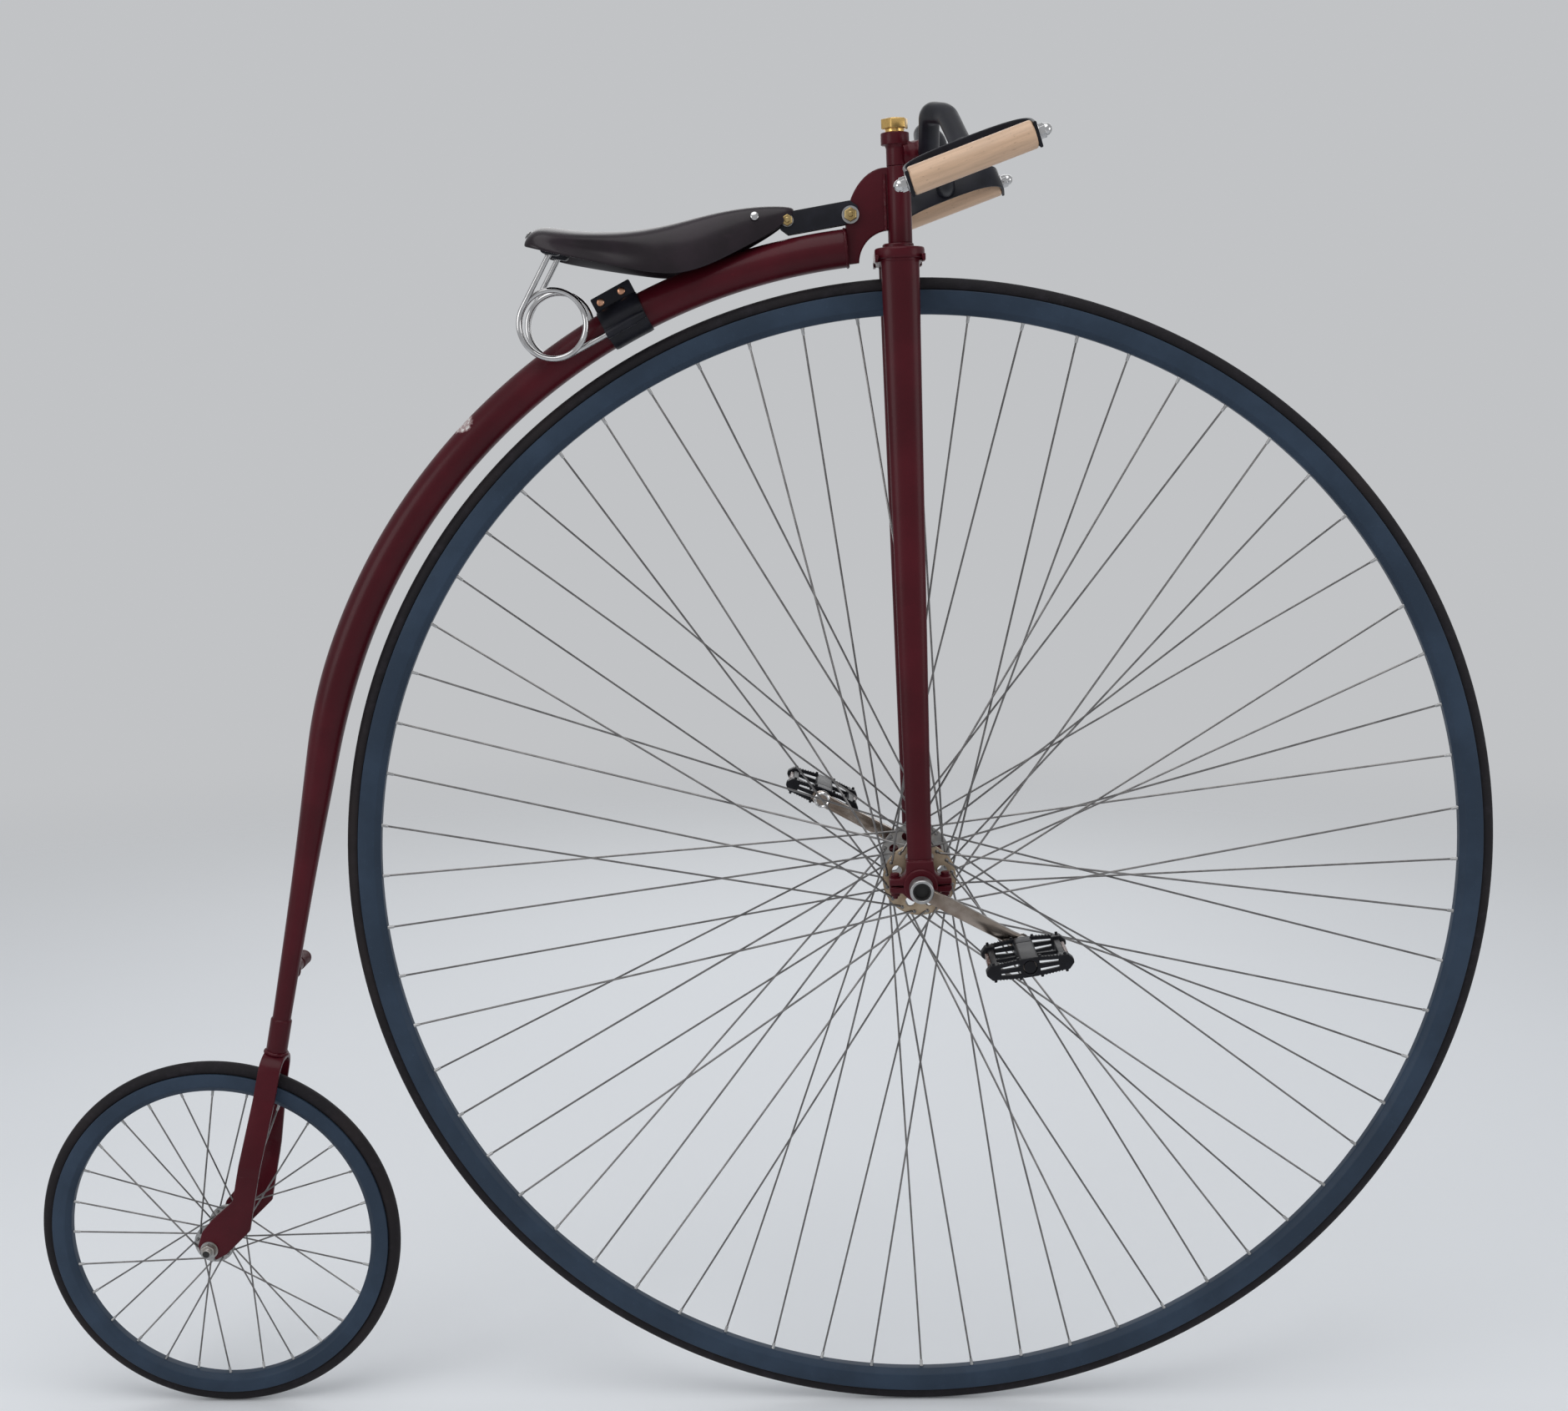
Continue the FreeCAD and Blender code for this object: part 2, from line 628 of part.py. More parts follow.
def head_plug():
    """Brass plug screwed into the top of the head."""
    low = NECK_TUBE_TOP + SEAT_GAP + HEAD_STEM_HEIGHT + HEAD_COLLAR_HEIGHT
    neck = rod(PLUG_NECK_RADIUS, on_axis(low), on_axis(low + PLUG_NECK_HEIGHT))
    head = prism_hex(PLUG_HEX / 2, on_axis(low + PLUG_NECK_HEIGHT), V(0, 0, 1), PLUG_HEX_HEIGHT)
    return raked(fused([neck, head]))


# ---------------------------------------------------------------- handlebar and grips
def bent_line(points, share=0.45, steps=5):
    """Points along straight runs joined by tangent arcs. share is how much of a run each arc may take."""
    line = [points[0]]
    for before, corner, after in zip(points, points[1:], points[2:]):
        back, ahead = before - corner, after - corner
        trim = share * min(back.Length, ahead.Length)
        half = back.getAngle(ahead) / 2
        back.normalize()
        ahead.normalize()
        bisector = (back + ahead).normalize()
        centre = corner + bisector * (trim / math.cos(half))
        first, final = corner + back * trim - centre, corner + ahead * trim - centre
        sweep = math.pi - 2 * half
        for k in range(steps + 1):
            at = sweep * k / steps
            line.append(centre + (first * math.sin(sweep - at) + final * math.sin(at)) * (1 / math.sin(sweep)))
    return line + [points[-1]]


def handlebar():
    """One bent tube from grip to grip through the lug in front of the head."""
    middle = bar_centre()
    grip_middle, along, inboard, over = bow_frame()
    seat = grip_middle + inboard * (BOW_DEPTH + 0.2)
    half = [
        middle + V(0, 30, 0),
        middle + V(2, 85, 33),
        seat + inboard * 50,
        seat,
    ]
    points = [V(p.x, -p.y, p.z) for p in reversed(half)] + half
    return many_sided_tube(bent_line(points), BAR_RADIUS, BAR_SIDES, V(0, 0, 1))


def grip_ends():
    """Rear and front ends of the left grip's axis."""
    centre = V(GRIP_CENTRE_X, GRIP_SPREAD, CREST + GRIP_CENTRE_RISE)
    along = direction(GRIP_RISE)
    return centre - along * (GRIP_LENGTH / 2), centre + along * (GRIP_LENGTH / 2), along


def grip():
    rear, front, along = grip_ends()
    wood = rod(GRIP_RADIUS, rear, front)
    return wood.cut(rod(ROD_RADIUS, rear - along, front + along))


def grip_rod():
    """Rod through the grip with a domed nut at each end."""
    rear, front, along = grip_ends()
    rear_out = rear - along * BOW_THICKNESS
    front_out = front + along * BOW_THICKNESS
    pieces = [rod(ROD_RADIUS, rear_out, front_out)]
    for point, way in ((rear_out, along * -1), (front_out, along)):
        pieces.append(prism_hex(CAP_NUT_RADIUS, point, way, CAP_NUT_LENGTH / 2))
        pieces.append(rod(CAP_NUT_RADIUS * 0.8, point + way * (CAP_NUT_LENGTH / 2), point + way * (CAP_NUT_LENGTH * 0.8)))
    return fused(pieces)


def bow_frame():
    """Middle of the left grip, its axis, the way inboard, and the way across the strap."""
    rear, front, along = grip_ends()
    inboard = V(0, -BOW_DEPTH, BOW_LIFT).normalize()
    inboard = (inboard - along * inboard.dot(along)).normalize()
    return (rear + front) * 0.5, along, inboard, inboard.cross(along)


def bow_outline(half_length, depth, radius):
    """Flat D without its straight side closed: (along, inboard) runs and arcs from rear to front."""
    k = radius * (1 - math.sqrt(0.5))
    foot = -CAP_NUT_RADIUS - 3
    return [
        ("run", (-half_length, foot), (-half_length, depth - radius)),
        ("arc", (-half_length + k, depth - k), (-half_length + radius, depth)),
        ("run", None, (half_length - radius, depth)),
        ("arc", (half_length - k, depth - k), (half_length, depth - radius)),
        ("run", None, (half_length, foot)),
    ]


def grip_bow():
    """Flat strap bent round the inboard side of the grip, its ends under the domed nuts."""
    middle, along, inboard, over = bow_frame()
    origin = middle - over * (BOW_WIDTH / 2)

    def at(pair):
        return origin + along * pair[0] + inboard * pair[1]

    half = GRIP_LENGTH / 2
    outer = traced(bow_outline(half + BOW_THICKNESS, BOW_DEPTH, BOW_BEND), at)
    inner = traced(bow_outline(half, BOW_DEPTH - BOW_THICKNESS, BOW_BEND - BOW_THICKNESS), at)
    feet = [Part.LineSegment(outer[1], inner[1]).toShape(), Part.LineSegment(outer[2], inner[2]).toShape()]
    loop = Part.Wire(Part.__sortEdges__(outer[0] + inner[0] + feet))
    strap = Part.Face(loop).extrude(over * BOW_WIDTH)
    rear, front, along = grip_ends()
    return strap.cut(rod(ROD_RADIUS, rear - along * 5, front + along * 5))


def traced(outline, at):
    """Edges of an outline, with its first and last points."""
    edges = []
    start = at(outline[0][1])
    first = start
    for kind, through, end in outline:
        stop = at(end)
        if kind == "arc":
            edges.append(Part.Arc(start, at(through), stop).toShape())
        else:
            edges.append(Part.LineSegment(start, stop).toShape())
        start = stop
    return edges, first, start


# ---------------------------------------------------------------- backbone and neck
def tail_geometry():
    """Where the backbone leaves the wheel's curve, and the top of the rear fork."""
    crown_angle = 90 - REAR_CROWN_ANGLE
    crown = REAR_AXLE + direction(crown_angle) * (REAR_RADIUS + REAR_CROWN_CLEARANCE)
    away = crown - FRONT_AXLE
    bearing = math.degrees(math.atan2(away.z, away.x)) % 360
    leave_angle = bearing - math.degrees(math.acos(BACKBONE_ARC / away.Length))
    leave = FRONT_AXLE + direction(leave_angle) * BACKBONE_ARC
    return crown, leave, leave_angle


def round_wheel(angle, diameter):
    """The backbone's section at an angle round the front wheel."""
    out = direction(angle)
    return many_sided(FRONT_AXLE + out * BACKBONE_ARC, V(0, 1, 0), out, diameter / 2, BACKBONE_SIDES)


def angles_between(start, end, step):
    count = math.ceil((end - start) / step)
    return [start + (end - start) * k / count for k in range(count + 1)]


def backbone():
    """Tube bent round the wheel at one radius, then tapering into a straight tail."""
    crown, leave, leave_angle = tail_geometry()
    start_angle = 90 + math.degrees(math.asin(BACKBONE_START / BACKBONE_ARC))
    taper_angle = leave_angle - math.degrees(BACKBONE_TAPER_LEAD / BACKBONE_ARC)
    loss = BACKBONE_DIAMETER - BACKBONE_TAIL_DIAMETER
    down = (crown - leave).normalize()
    tail = (crown - leave).Length
    rings = [round_wheel(a, BACKBONE_DIAMETER) for a in angles_between(start_angle, taper_angle, BACKBONE_STEP)]
    for share, lost in ((0.5, 0.05), (1.0, 0.16)):  # (share of the lead, share of the taper)
        angle = taper_angle + (leave_angle - taper_angle) * share
        rings.append(round_wheel(angle, BACKBONE_DIAMETER - loss * lost))
    for share, lost in ((0.13, 0.33), (0.33, 0.63), (0.43, 0.74), (0.75, 0.91), (1.0, 1.0)):  # of the tail
        diameter = BACKBONE_DIAMETER - loss * lost
        out = direction(leave_angle)
        rings.append(many_sided(leave + down * (tail * share), V(0, 1, 0), out, diameter / 2, BACKBONE_SIDES))
    return skinned(rings)


def neck():
    """Tube that the steerer turns in, and the plate that carries the backbone."""
    upright = rod(NECK_TUBE_RADIUS, on_axis(NECK_TUBE_BOTTOM), on_axis(NECK_TUBE_TOP))
    tube = raked(upright)
    bore = raked(rod(STEERER_RADIUS + HEAD_RUNNING, on_axis(NECK_TUBE_BOTTOM - 1), on_axis(NECK_TUBE_TOP + 1)))
    end_z = FRONT_RADIUS + math.sqrt(BACKBONE_ARC ** 2 - BACKBONE_START ** 2)
    half = BACKBONE_DIAMETER / 2
    rear = -BACKBONE_START
    top = end_z + half
    toe = end_z - half + WEB_TOE_LIFT
    crest = FRONT_RADIUS + NECK_TUBE_TOP - WEB_TOP_DROP
    hollow = FRONT_RADIUS + NECK_TUBE_BOTTOM + WEB_THROAT_RISE
    back = quarter(V(-WEB_BACK_X, 0, top), BACKBONE_START - WEB_BACK_X, crest - top, 90)
    throat = quarter(V(-WEB_THROAT_X, 0, toe), WEB_TOE - WEB_THROAT_X, hollow - toe, 90)[::-1]
    rows = [V(rear, 0, toe - 2)] + throat + [V(rear + 60, 0, hollow)]
    rows += [V(rear + 60, 0, crest)] + back
    web = plate(rows, -NECK_PLATE / 2, NECK_PLATE / 2)
    eye = across(LINK_BOLT_RADIUS, V(NECK_BOLT_X, 0, CREST + NECK_BOLT_RISE), -NECK_PLATE, NECK_PLATE)
    return fused([tube, web.cut(backbone())]).cut(bore).cut(eye)


# ---------------------------------------------------------------- rear fork
def rear_fork_crown():
    """Socket for the backbone's tail on a strap bent over the rear wheel."""
    crown, leave, leave_angle = tail_geometry()
    down = (crown - leave).normalize()
    socket_top = crown - down * REAR_SLEEVE_LENGTH
    sleeve = rod(REAR_SLEEVE_RADIUS, socket_top, crown)
    half = REAR_BLADE_SPACING / 2 + REAR_BLADE_THICKNESS / 2
    thick = REAR_BLADE_THICKNESS
    strap = bent_strap(half, REAR_CROWN_DROP, thick, REAR_BLADE_WIDTH + 6)
    strap.rotate(V(0, 0, 0), V(0, 1, 0), tail_lean())
    strap.translate(crown)
    return fused([sleeve.cut(backbone()), strap])


def tail_lean():
    """Angle of the tail from upright."""
    crown, leave, leave_angle = tail_geometry()
    step = leave - crown
    return math.degrees(math.atan2(step.x, step.z))


def bent_strap(half_width, drop, thickness, width):
    """Inverted U in the YZ plane below the origin, extruded fore and aft."""
    bend = REAR_CROWN_BEND
    inner = bend - thickness
    edges = []
    outside = [V(0, -half_width, -drop), V(0, -half_width, -bend), V(0, -half_width + bend, 0)]
    outside += [V(0, half_width - bend, 0), V(0, half_width, -bend), V(0, half_width, -drop)]
    k = 1 - math.sqrt(0.5)
    edges.append(Part.LineSegment(outside[0], outside[1]).toShape())
    edges.append(Part.Arc(outside[1], V(0, -half_width + bend * k, -bend * k), outside[2]).toShape())
    edges.append(Part.LineSegment(outside[2], outside[3]).toShape())
    edges.append(Part.Arc(outside[3], V(0, half_width - bend * k, -bend * k), outside[4]).toShape())
    edges.append(Part.LineSegment(outside[4], outside[5]).toShape())
    low = half_width - thickness
    inside = [V(0, low, -drop), V(0, low, -bend), V(0, low - inner, -thickness)]
    inside += [V(0, -low + inner, -thickness), V(0, -low, -bend), V(0, -low, -drop)]
    edges.append(Part.LineSegment(outside[5], inside[0]).toShape())
    edges.append(Part.LineSegment(inside[0], inside[1]).toShape())
    edges.append(Part.Arc(inside[1], V(0, low - inner * k, -thickness - inner * k), inside[2]).toShape())
    edges.append(Part.LineSegment(inside[2], inside[3]).toShape())
    edges.append(Part.Arc(inside[3], V(0, -low + inner * k, -thickness - inner * k), inside[4]).toShape())
    edges.append(Part.LineSegment(inside[4], inside[5]).toShape())
    edges.append(Part.LineSegment(inside[5], outside[0]).toShape())
    face = Part.Face(Part.Wire(edges))
    face.translate(V(-width / 2, 0, 0))
    return face.extrude(V(width, 0, 0))


def rear_blade():
    """Flat plate on the left, from the crown strap down to the elbow and back to the axle."""
    crown, leave, leave_angle = tail_geometry()
    down = (crown - leave).normalize()
    side = V(-down.z, 0, down.x)
    if side.x < 0:
        side = side * -1
    top = crown + down * REAR_CROWN_DROP
    half = REAR_BLADE_WIDTH / 2
    elbow = V(REAR_ELBOW_AHEAD, 0, REAR_ELBOW_RISE)
    knee = V(REAR_KNEE_AHEAD, 0, REAR_KNEE_RISE)
    toes = [V(DROPOUT_RADIUS, 0, -DROPOUT_TONGUE), V(-DROPOUT_RADIUS * 0.8, 0, -DROPOUT_TONGUE)]
    heel = quarter(V(0, 0, 0), DROPOUT_RADIUS, DROPOUT_RADIUS * 1.6, 90, 4)[::-1]
    foot = [REAR_AXLE + point for point in [elbow] + toes + heel + [knee]]
    outline = [top + side * half] + foot + [top - side * half]
    y_low = REAR_BLADE_SPACING / 2 - REAR_BLADE_THICKNESS / 2
    y_high = y_low + REAR_BLADE_THICKNESS
    slot = box(
        REAR_AXLE.x - REAR_AXLE_RADIUS, y_low - 1, REAR_AXLE.z - 2 * DROPOUT_RADIUS,
        2 * REAR_AXLE_RADIUS, REAR_BLADE_THICKNESS + 2, 2 * DROPOUT_RADIUS,
    )
    eye = across(REAR_AXLE_RADIUS, REAR_AXLE, y_low - 1, y_high + 1)
    return plate(outline, y_low, y_high).cut(slot).cut(eye)


def rear_axle():
    """Axle with a washer and a nut outside each blade, and a cone inside it."""
    outer = REAR_BLADE_SPACING / 2 + REAR_BLADE_THICKNESS / 2
    inner = REAR_BLADE_SPACING / 2 - REAR_BLADE_THICKNESS / 2
    hub_end = REAR_FLANGE_SPACING / 2 + FLANGE_THICKNESS / 2 + SEAT_GAP
    pieces = [across(REAR_AXLE_RADIUS, REAR_AXLE, -outer - 14, outer + 14)]
    for side in (-1, 1):
        low, high = sorted((side * outer, side * (outer + 1.6)))
        pieces.append(across(REAR_WASHER_RADIUS, REAR_AXLE, low, high))
        start = V(REAR_AXLE.x, side * (outer + 1.6), REAR_AXLE.z)
        pieces.append(prism_hex(REAR_NUT_RADIUS, start, V(0, side, 0), 8.0))
        low, high = sorted((side * hub_end, side * inner))
        pieces.append(across(REAR_AXLE_RADIUS + 3, REAR_AXLE, low, high))
    return fused(pieces)


def mounting_step():
    """Round peg on the left of the tail, for climbing on."""
    crown, leave, leave_angle = tail_geometry()
    share = (leave.z - STEP_HEIGHT) / (leave.z - crown.z)
    centre = leave + (crown - leave) * share
    peg = across(STEP_RADIUS, centre, 0, STEP_LENGTH + BACKBONE_TAIL_DIAMETER / 2)
    return peg.cut(backbone())


# ---------------------------------------------------------------- saddle and its springs
SADDLE_TABLE = [  # (share from nose to rear, top and flap over the backbone's crest, half width)
    (0.00, 18.8, 6.8, 17.5),
    (0.10, 20.8, -1.2, 20.0),
    (0.28, 15.3, -23.2, 27.0),
    (0.45, 2.8, -52.2, 40.0),
    (0.55, -3.2, -56.2, 56.0),
    (0.70, -6.7, -46.2, 80.0),
    (0.85, -6.2, -39.2, 98.0),
    (0.95, -5.2, -32.2, 98.0),
    (1.00, -15.2, -27.2, 82.0),
]


def saddle_leather():
    """Tensioned leather top with side flaps, as a shell of one thickness."""
    return saddle_loft(0).cut(saddle_loft(SADDLE_THICKNESS))


def saddle_loft(inset):
    nose_x = SADDLE_LENGTH - SADDLE_REAR_X
    rings = []
    for share, rise, flap, half in SADDLE_TABLE:
        x = nose_x - SADDLE_LENGTH * share
        half = half - inset
        top = CREST + rise - inset
        low = CREST + flap - 4 * inset
        shoulder = top - (rise - flap) * 0.25 - 3
        points = [
            V(x, -half, low), V(x, -half * 0.96, shoulder), V(x, -half * 0.55, top - 1.5),
            V(x, half * 0.55, top - 1.5), V(x, half * 0.96, shoulder), V(x, half, low),
        ]
        rings.append(points)
    return skinned(rings)


def clamp_frame():
    """Middle of the spring clamp, beside the backbone's centreline, and the tube's way there."""
    along = direction(CLAMP_ANGLE - 90)
    out = direction(CLAMP_ANGLE)
    groove = FRONT_AXLE + out * (BACKBONE_ARC - GROOVE_DROP)
    return groove, along, out


def coil_centre():
    groove, along, out = clamp_frame()
    return groove - along * (CLAMP_LENGTH / 2 + COIL_SETBACK) + out * COIL_RADIUS


def spring_line():
    """Middle of the left spring's wire: a leg and a tail tangent to a coil about a Y axis."""
    centre = coil_centre()
    top = V(LEG_TOP_X, 0, CREST - LEG_TOP_DROP)
    reach = (top - centre).Length
    bearing = math.degrees(math.atan2(top.z - centre.z, top.x - centre.x))
    first = bearing + math.degrees(math.acos(COIL_RADIUS / reach))
    last = CLAMP_ANGLE - 180 + 720
    turns = (last - first) / 360
    pitch = 2 * WIRE_RADIUS + COIL_TURN_GAP
    inner_y = BACKBONE_DIAMETER / 2 + CLAMP_WALL + WIRE_RADIUS + 1
    outer_y = inner_y + turns * pitch
    coil = []
    for angle in angles_between(first, last, COIL_STEP):
        y = outer_y - pitch * (angle - first) / 360
        coil.append(V(centre.x, y, centre.z) + direction(angle) * COIL_RADIUS)
    climb = pitch / (2 * math.pi * COIL_RADIUS)
    enter = (direction(first + 90) + V(0, -climb, 0)).normalize()
    leave = (direction(last + 90) + V(0, -climb, 0)).normalize()
    head = coil[0] - enter * math.sqrt(reach ** 2 - COIL_RADIUS ** 2)
    tail = coil[-1] + leave * (COIL_SETBACK + CLAMP_LENGTH * 0.7)
    return [head] + coil + [tail]


def spring():
    return many_sided_tube(spring_line(), WIRE_RADIUS, WIRE_SIDES, V(0, 1, 0))


def spring_clamp():
    """Strap round the backbone with a riveted ear on top and a rolled groove for each spring's tail."""
    groove, along, out = clamp_frame()
    half = math.degrees(CLAMP_LENGTH / 2 / BACKBONE_ARC)
    outside = BACKBONE_DIAMETER + 2 * CLAMP_WALL
    angles = angles_between(CLAMP_ANGLE - half, CLAMP_ANGLE + half, BACKBONE_STEP)
    strap = skinned([round_wheel(angle, outside) for angle in angles])
    low = BACKBONE_ARC + BACKBONE_DIAMETER / 2 - 2
    high = BACKBONE_ARC + BACKBONE_DIAMETER / 2 + CLAMP_EAR
    side = along * (CLAMP_LENGTH / 2)
    corners = [FRONT_AXLE + out * low - side, FRONT_AXLE + out * low + side]
    corners += [FRONT_AXLE + out * high + side, FRONT_AXLE + out * high - side]
    ear = plate(corners, -CLAMP_WALL, CLAMP_WALL)
    line = spring_line()
    end, tail = line[-2:]
    rolls = []
    holes = []
    for y in (1, -1):
        near = V(groove.x, y * end.y, groove.z) - side
        far = V(groove.x, y * tail.y, groove.z) + side
        rolls.append(rod(WIRE_RADIUS + CLAMP_WALL, near, far))
        first = V(end.x, end.y * y, end.z)
        second = V(tail.x, tail.y * y, tail.z)
        holes.append(rod(WIRE_RADIUS, first, second))
    whole = fused([strap, ear] + rolls).cut(backbone())
    return whole.cut(holes[0]).cut(holes[1])


def saddle_cantle():
    """Plate under the rear of the leather with a socket block for each spring's leg."""
    head, start = spring_line()[:2]
    x = LEG_TOP_X - CANTLE_LENGTH / 2
    pieces = [box(x, -CANTLE_SPAN / 2, CANTLE_Z, CANTLE_LENGTH, CANTLE_SPAN, CANTLE_THICKNESS)]
    for y in (head.y, -head.y):
        low = CREST - LEG_TOP_DROP - 6
        pieces.append(box(LEG_TOP_X - 9, y - 7, low, 24, 14, CANTLE_Z - low + 1))
    whole = fused(pieces)
    for y in (1, -1):
        first = V(head.x, head.y * y, head.z)
        second = V(start.x, start.y * y, start.z)
        whole = whole.cut(rod(WIRE_RADIUS, first, second))
    return whole


def link_ends():
    nose = V(NOSE_BOLT_X, 0, CREST + NOSE_BOLT_RISE)
    neck_end = V(NECK_BOLT_X, 0, CREST + NECK_BOLT_RISE)
    return nose, neck_end


def saddle_link():
    """Flat bar on the left, from the saddle's nose to the neck plate, sloping up more than its bolts do."""
    nose, neck_end = link_ends()
    along = direction(LINK_SLOPE)
    up = direction(LINK_SLOPE + 90)
    half = LINK_WIDTH / 2
    cut = LINK_WIDTH * 0.3
    middle = (nose + neck_end) * 0.5
    reach = (neck_end - nose).Length / 2 + 9
    rear = middle - along * reach
    front = middle + along * reach
    outline = [
        rear - up * (half - cut), rear + along * cut - up * half, front - along * cut - up * half,
        front - up * (half - cut), front + up * (half - cut), front - along * cut + up * half,
        rear + along * cut + up * half, rear + up * (half - cut),
    ]
    bar = plate(outline, NECK_PLATE / 2, NECK_PLATE / 2 + LINK_THICKNESS)
    for end in (nose, neck_end):
        bar = bar.cut(across(LINK_BOLT_RADIUS, end, 0, 30))
    return bar


def link_bolts():
    nose, neck_end = link_ends()
    outer = NECK_PLATE / 2 + LINK_THICKNESS
    pieces = []
    for end in (nose, neck_end):
        bolt = [across(LINK_BOLT_RADIUS, end, -outer, outer)]
        for side in (-1, 1):
            bolt.append(prism_hex(7.5 if end is neck_end else 6, V(end.x, side * outer, end.z), V(0, side, 0), 3.5))
        pieces.append(fused(bolt))
    return Part.makeCompound(pieces)


def saddle_nose():
    """Steel tongue under the leather's nose with an eye between the links."""
    nose, neck_end = link_ends()
    low = NECK_PLATE / 2
    eye = across(9, nose, -low, low)
    tongue = box(nose.x - 60, -low, nose.z - 5, 60, 2 * low, 9)
    whole = fused([eye, tongue])
    return whole.cut(across(LINK_BOLT_RADIUS, nose, -low, low))


NODES = {}


def add(name, shape):
    NODES[name] = shape


def add_pair(name, shape):
    """One node on each side."""
    add(name + "_left", shape)
    add(name + "_right", mirrored(shape))


def add_both(name, shape):
    """One node that holds the piece on both sides."""
    add(name, Part.makeCompound([shape, mirrored(shape)]))


def build():
    add("front_tyre", front_tyre())
    add("front_rim", front_rim())
    add("front_spokes", front_spokes())
    add("front_hub", front_hub())
    add("front_spindle", front_spindle())
    add("rear_tyre", rear_tyre())
    add("rear_rim", rear_rim())
    add("rear_spokes", rear_spokes())
    add("rear_hub", rear_hub())
    for name, side, angle, tilt in (
        ("right", -1, CRANK_ANGLE, PEDAL_TILT_RIGHT), ("left", 1, CRANK_ANGLE + 180, PEDAL_TILT_LEFT)
    ):
        add("crank_" + name, crank(side, angle))
        add("pedal_" + name, pedal(side, angle, tilt))
        add("pedal_reflectors_" + name, pedal_reflectors(side, angle, tilt))
    add("pedal_spindles", Part.makeCompound([pedal_spindle(-1, CRANK_ANGLE), pedal_spindle(1, CRANK_ANGLE + 180)]))
    add("fork_crown", fork_crown())
    add("head_stem", head_stem())
    add("head_plug", head_plug())
    add("handlebar", handlebar())
    add_pair("fork_blade", fork_blade())
    add_pair("grip", grip())
    add_pair("rear_blade", rear_blade())
    add_both("bearing_uppers", bearing_upper())
    add_both("bearing_caps", bearing_cap())
    add_both("grip_rods", grip_rod())
    add_both("grip_bows", grip_bow())
    add("backbone", backbone())
    add("neck", neck())
    add("rear_fork_crown", rear_fork_crown())
    add("rear_axle", rear_axle())
    add("mounting_step", mounting_step())
    add("saddle_leather", saddle_leather())
    add("saddle_cantle", saddle_cantle())
    add("saddle_nose", saddle_nose())
    add_pair("spring", spring())
    add("spring_clamp", spring_clamp())
    add_pair("saddle_link", saddle_link())
    add("link_bolts", link_bolts())


def main():
    os.makedirs("parts", exist_ok=True)
    build()
    for name, shape in NODES.items():
        moved = shape.copy()
        moved.translate(V(RIDER_X, 0, RIDER_DROP - CREST))
        moved.exportStep("parts/" + name + ".step")
        print(name, shape.ShapeType, len(shape.Solids), shape.isValid(), round(shape.Volume / 1000, 1))


main()
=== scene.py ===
"""The looks of a penny farthing bicycle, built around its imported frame.

Pieces are drawn in millimetres about the front axle: X forward, Y to the rider's left and Z up.
Form.piece then sets each one in the frame, in metres, on the body that carries it.
"""

import json
import math

import bmesh
import bpy
from mathutils import Matrix, Vector, noise


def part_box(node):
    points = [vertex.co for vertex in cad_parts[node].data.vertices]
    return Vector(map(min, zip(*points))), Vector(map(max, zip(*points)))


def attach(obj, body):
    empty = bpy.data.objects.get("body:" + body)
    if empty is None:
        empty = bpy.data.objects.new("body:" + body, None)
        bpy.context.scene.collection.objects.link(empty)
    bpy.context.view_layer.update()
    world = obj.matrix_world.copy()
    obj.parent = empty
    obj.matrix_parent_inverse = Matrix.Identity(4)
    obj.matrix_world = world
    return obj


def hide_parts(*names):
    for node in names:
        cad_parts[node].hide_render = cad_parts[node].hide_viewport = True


bl_info = {
    "name": "Penny farthing bicycle",
    "version": (1, 0, 0),
    "blender": (4, 5, 0),
    "location": "3D View > Sidebar > Penny farthing",
    "description": "Builds the looks of a penny farthing bicycle around its packed frame",
    "category": "Add Mesh",
}

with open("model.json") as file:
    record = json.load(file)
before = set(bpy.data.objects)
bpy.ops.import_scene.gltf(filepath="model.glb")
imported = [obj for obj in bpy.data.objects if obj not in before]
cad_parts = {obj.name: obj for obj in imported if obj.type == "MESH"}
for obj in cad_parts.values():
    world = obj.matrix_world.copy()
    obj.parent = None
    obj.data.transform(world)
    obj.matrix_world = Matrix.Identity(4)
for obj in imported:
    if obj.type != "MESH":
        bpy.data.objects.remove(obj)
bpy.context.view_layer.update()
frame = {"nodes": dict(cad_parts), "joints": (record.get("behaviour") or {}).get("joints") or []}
JOINTS = {joint["name"]: joint for joint in frame["joints"]}
MM = 0.001
AXLE = Vector(JOINTS["front_wheel_spin"]["pos_m"])
IN_FRAME = Matrix.Translation(AXLE) @ Matrix.Scale(MM, 4)
SIDES = {"left": 1, "right": -1}


def from_axle(place):
    """A place in the frame, in millimetres about the front axle."""
    return (Vector(place) - AXLE) / MM


def reach(node):
    """Lowest and highest corners of a CAD node, in millimetres about the front axle."""
    low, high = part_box(node)
    return from_axle(low), from_axle(high)


REAR_AXLE = from_axle(JOINTS["rear_wheel_spin"]["pos_m"])
PEDAL_CENTRES = {side: from_axle(JOINTS["pedal_" + side + "_spin"]["pos_m"]) for side in SIDES}
STEER_WAY = Vector(JOINTS["steering"]["axis"])
LEAN = Matrix.Rotation(math.atan2(STEER_WAY.x, STEER_WAY.z), 4, "Y")
FRONT_RADIUS = reach("front_tyre")[1].z
REAR_RADIUS = reach("rear_tyre")[1].z - REAR_AXLE.z
TYRE_HALF = reach("front_tyre")[1].y
TYRE_HIGH = TYRE_HALF + 4.5  # what stands out of the rim
RIM_HALF = reach("front_rim")[1].y
FLANGE_FACE = reach("front_hub")[1].y
HOUSING_OUTER = reach("bearing_uppers")[1].y
CRANK_OUTER = reach("crank_left")[1].y
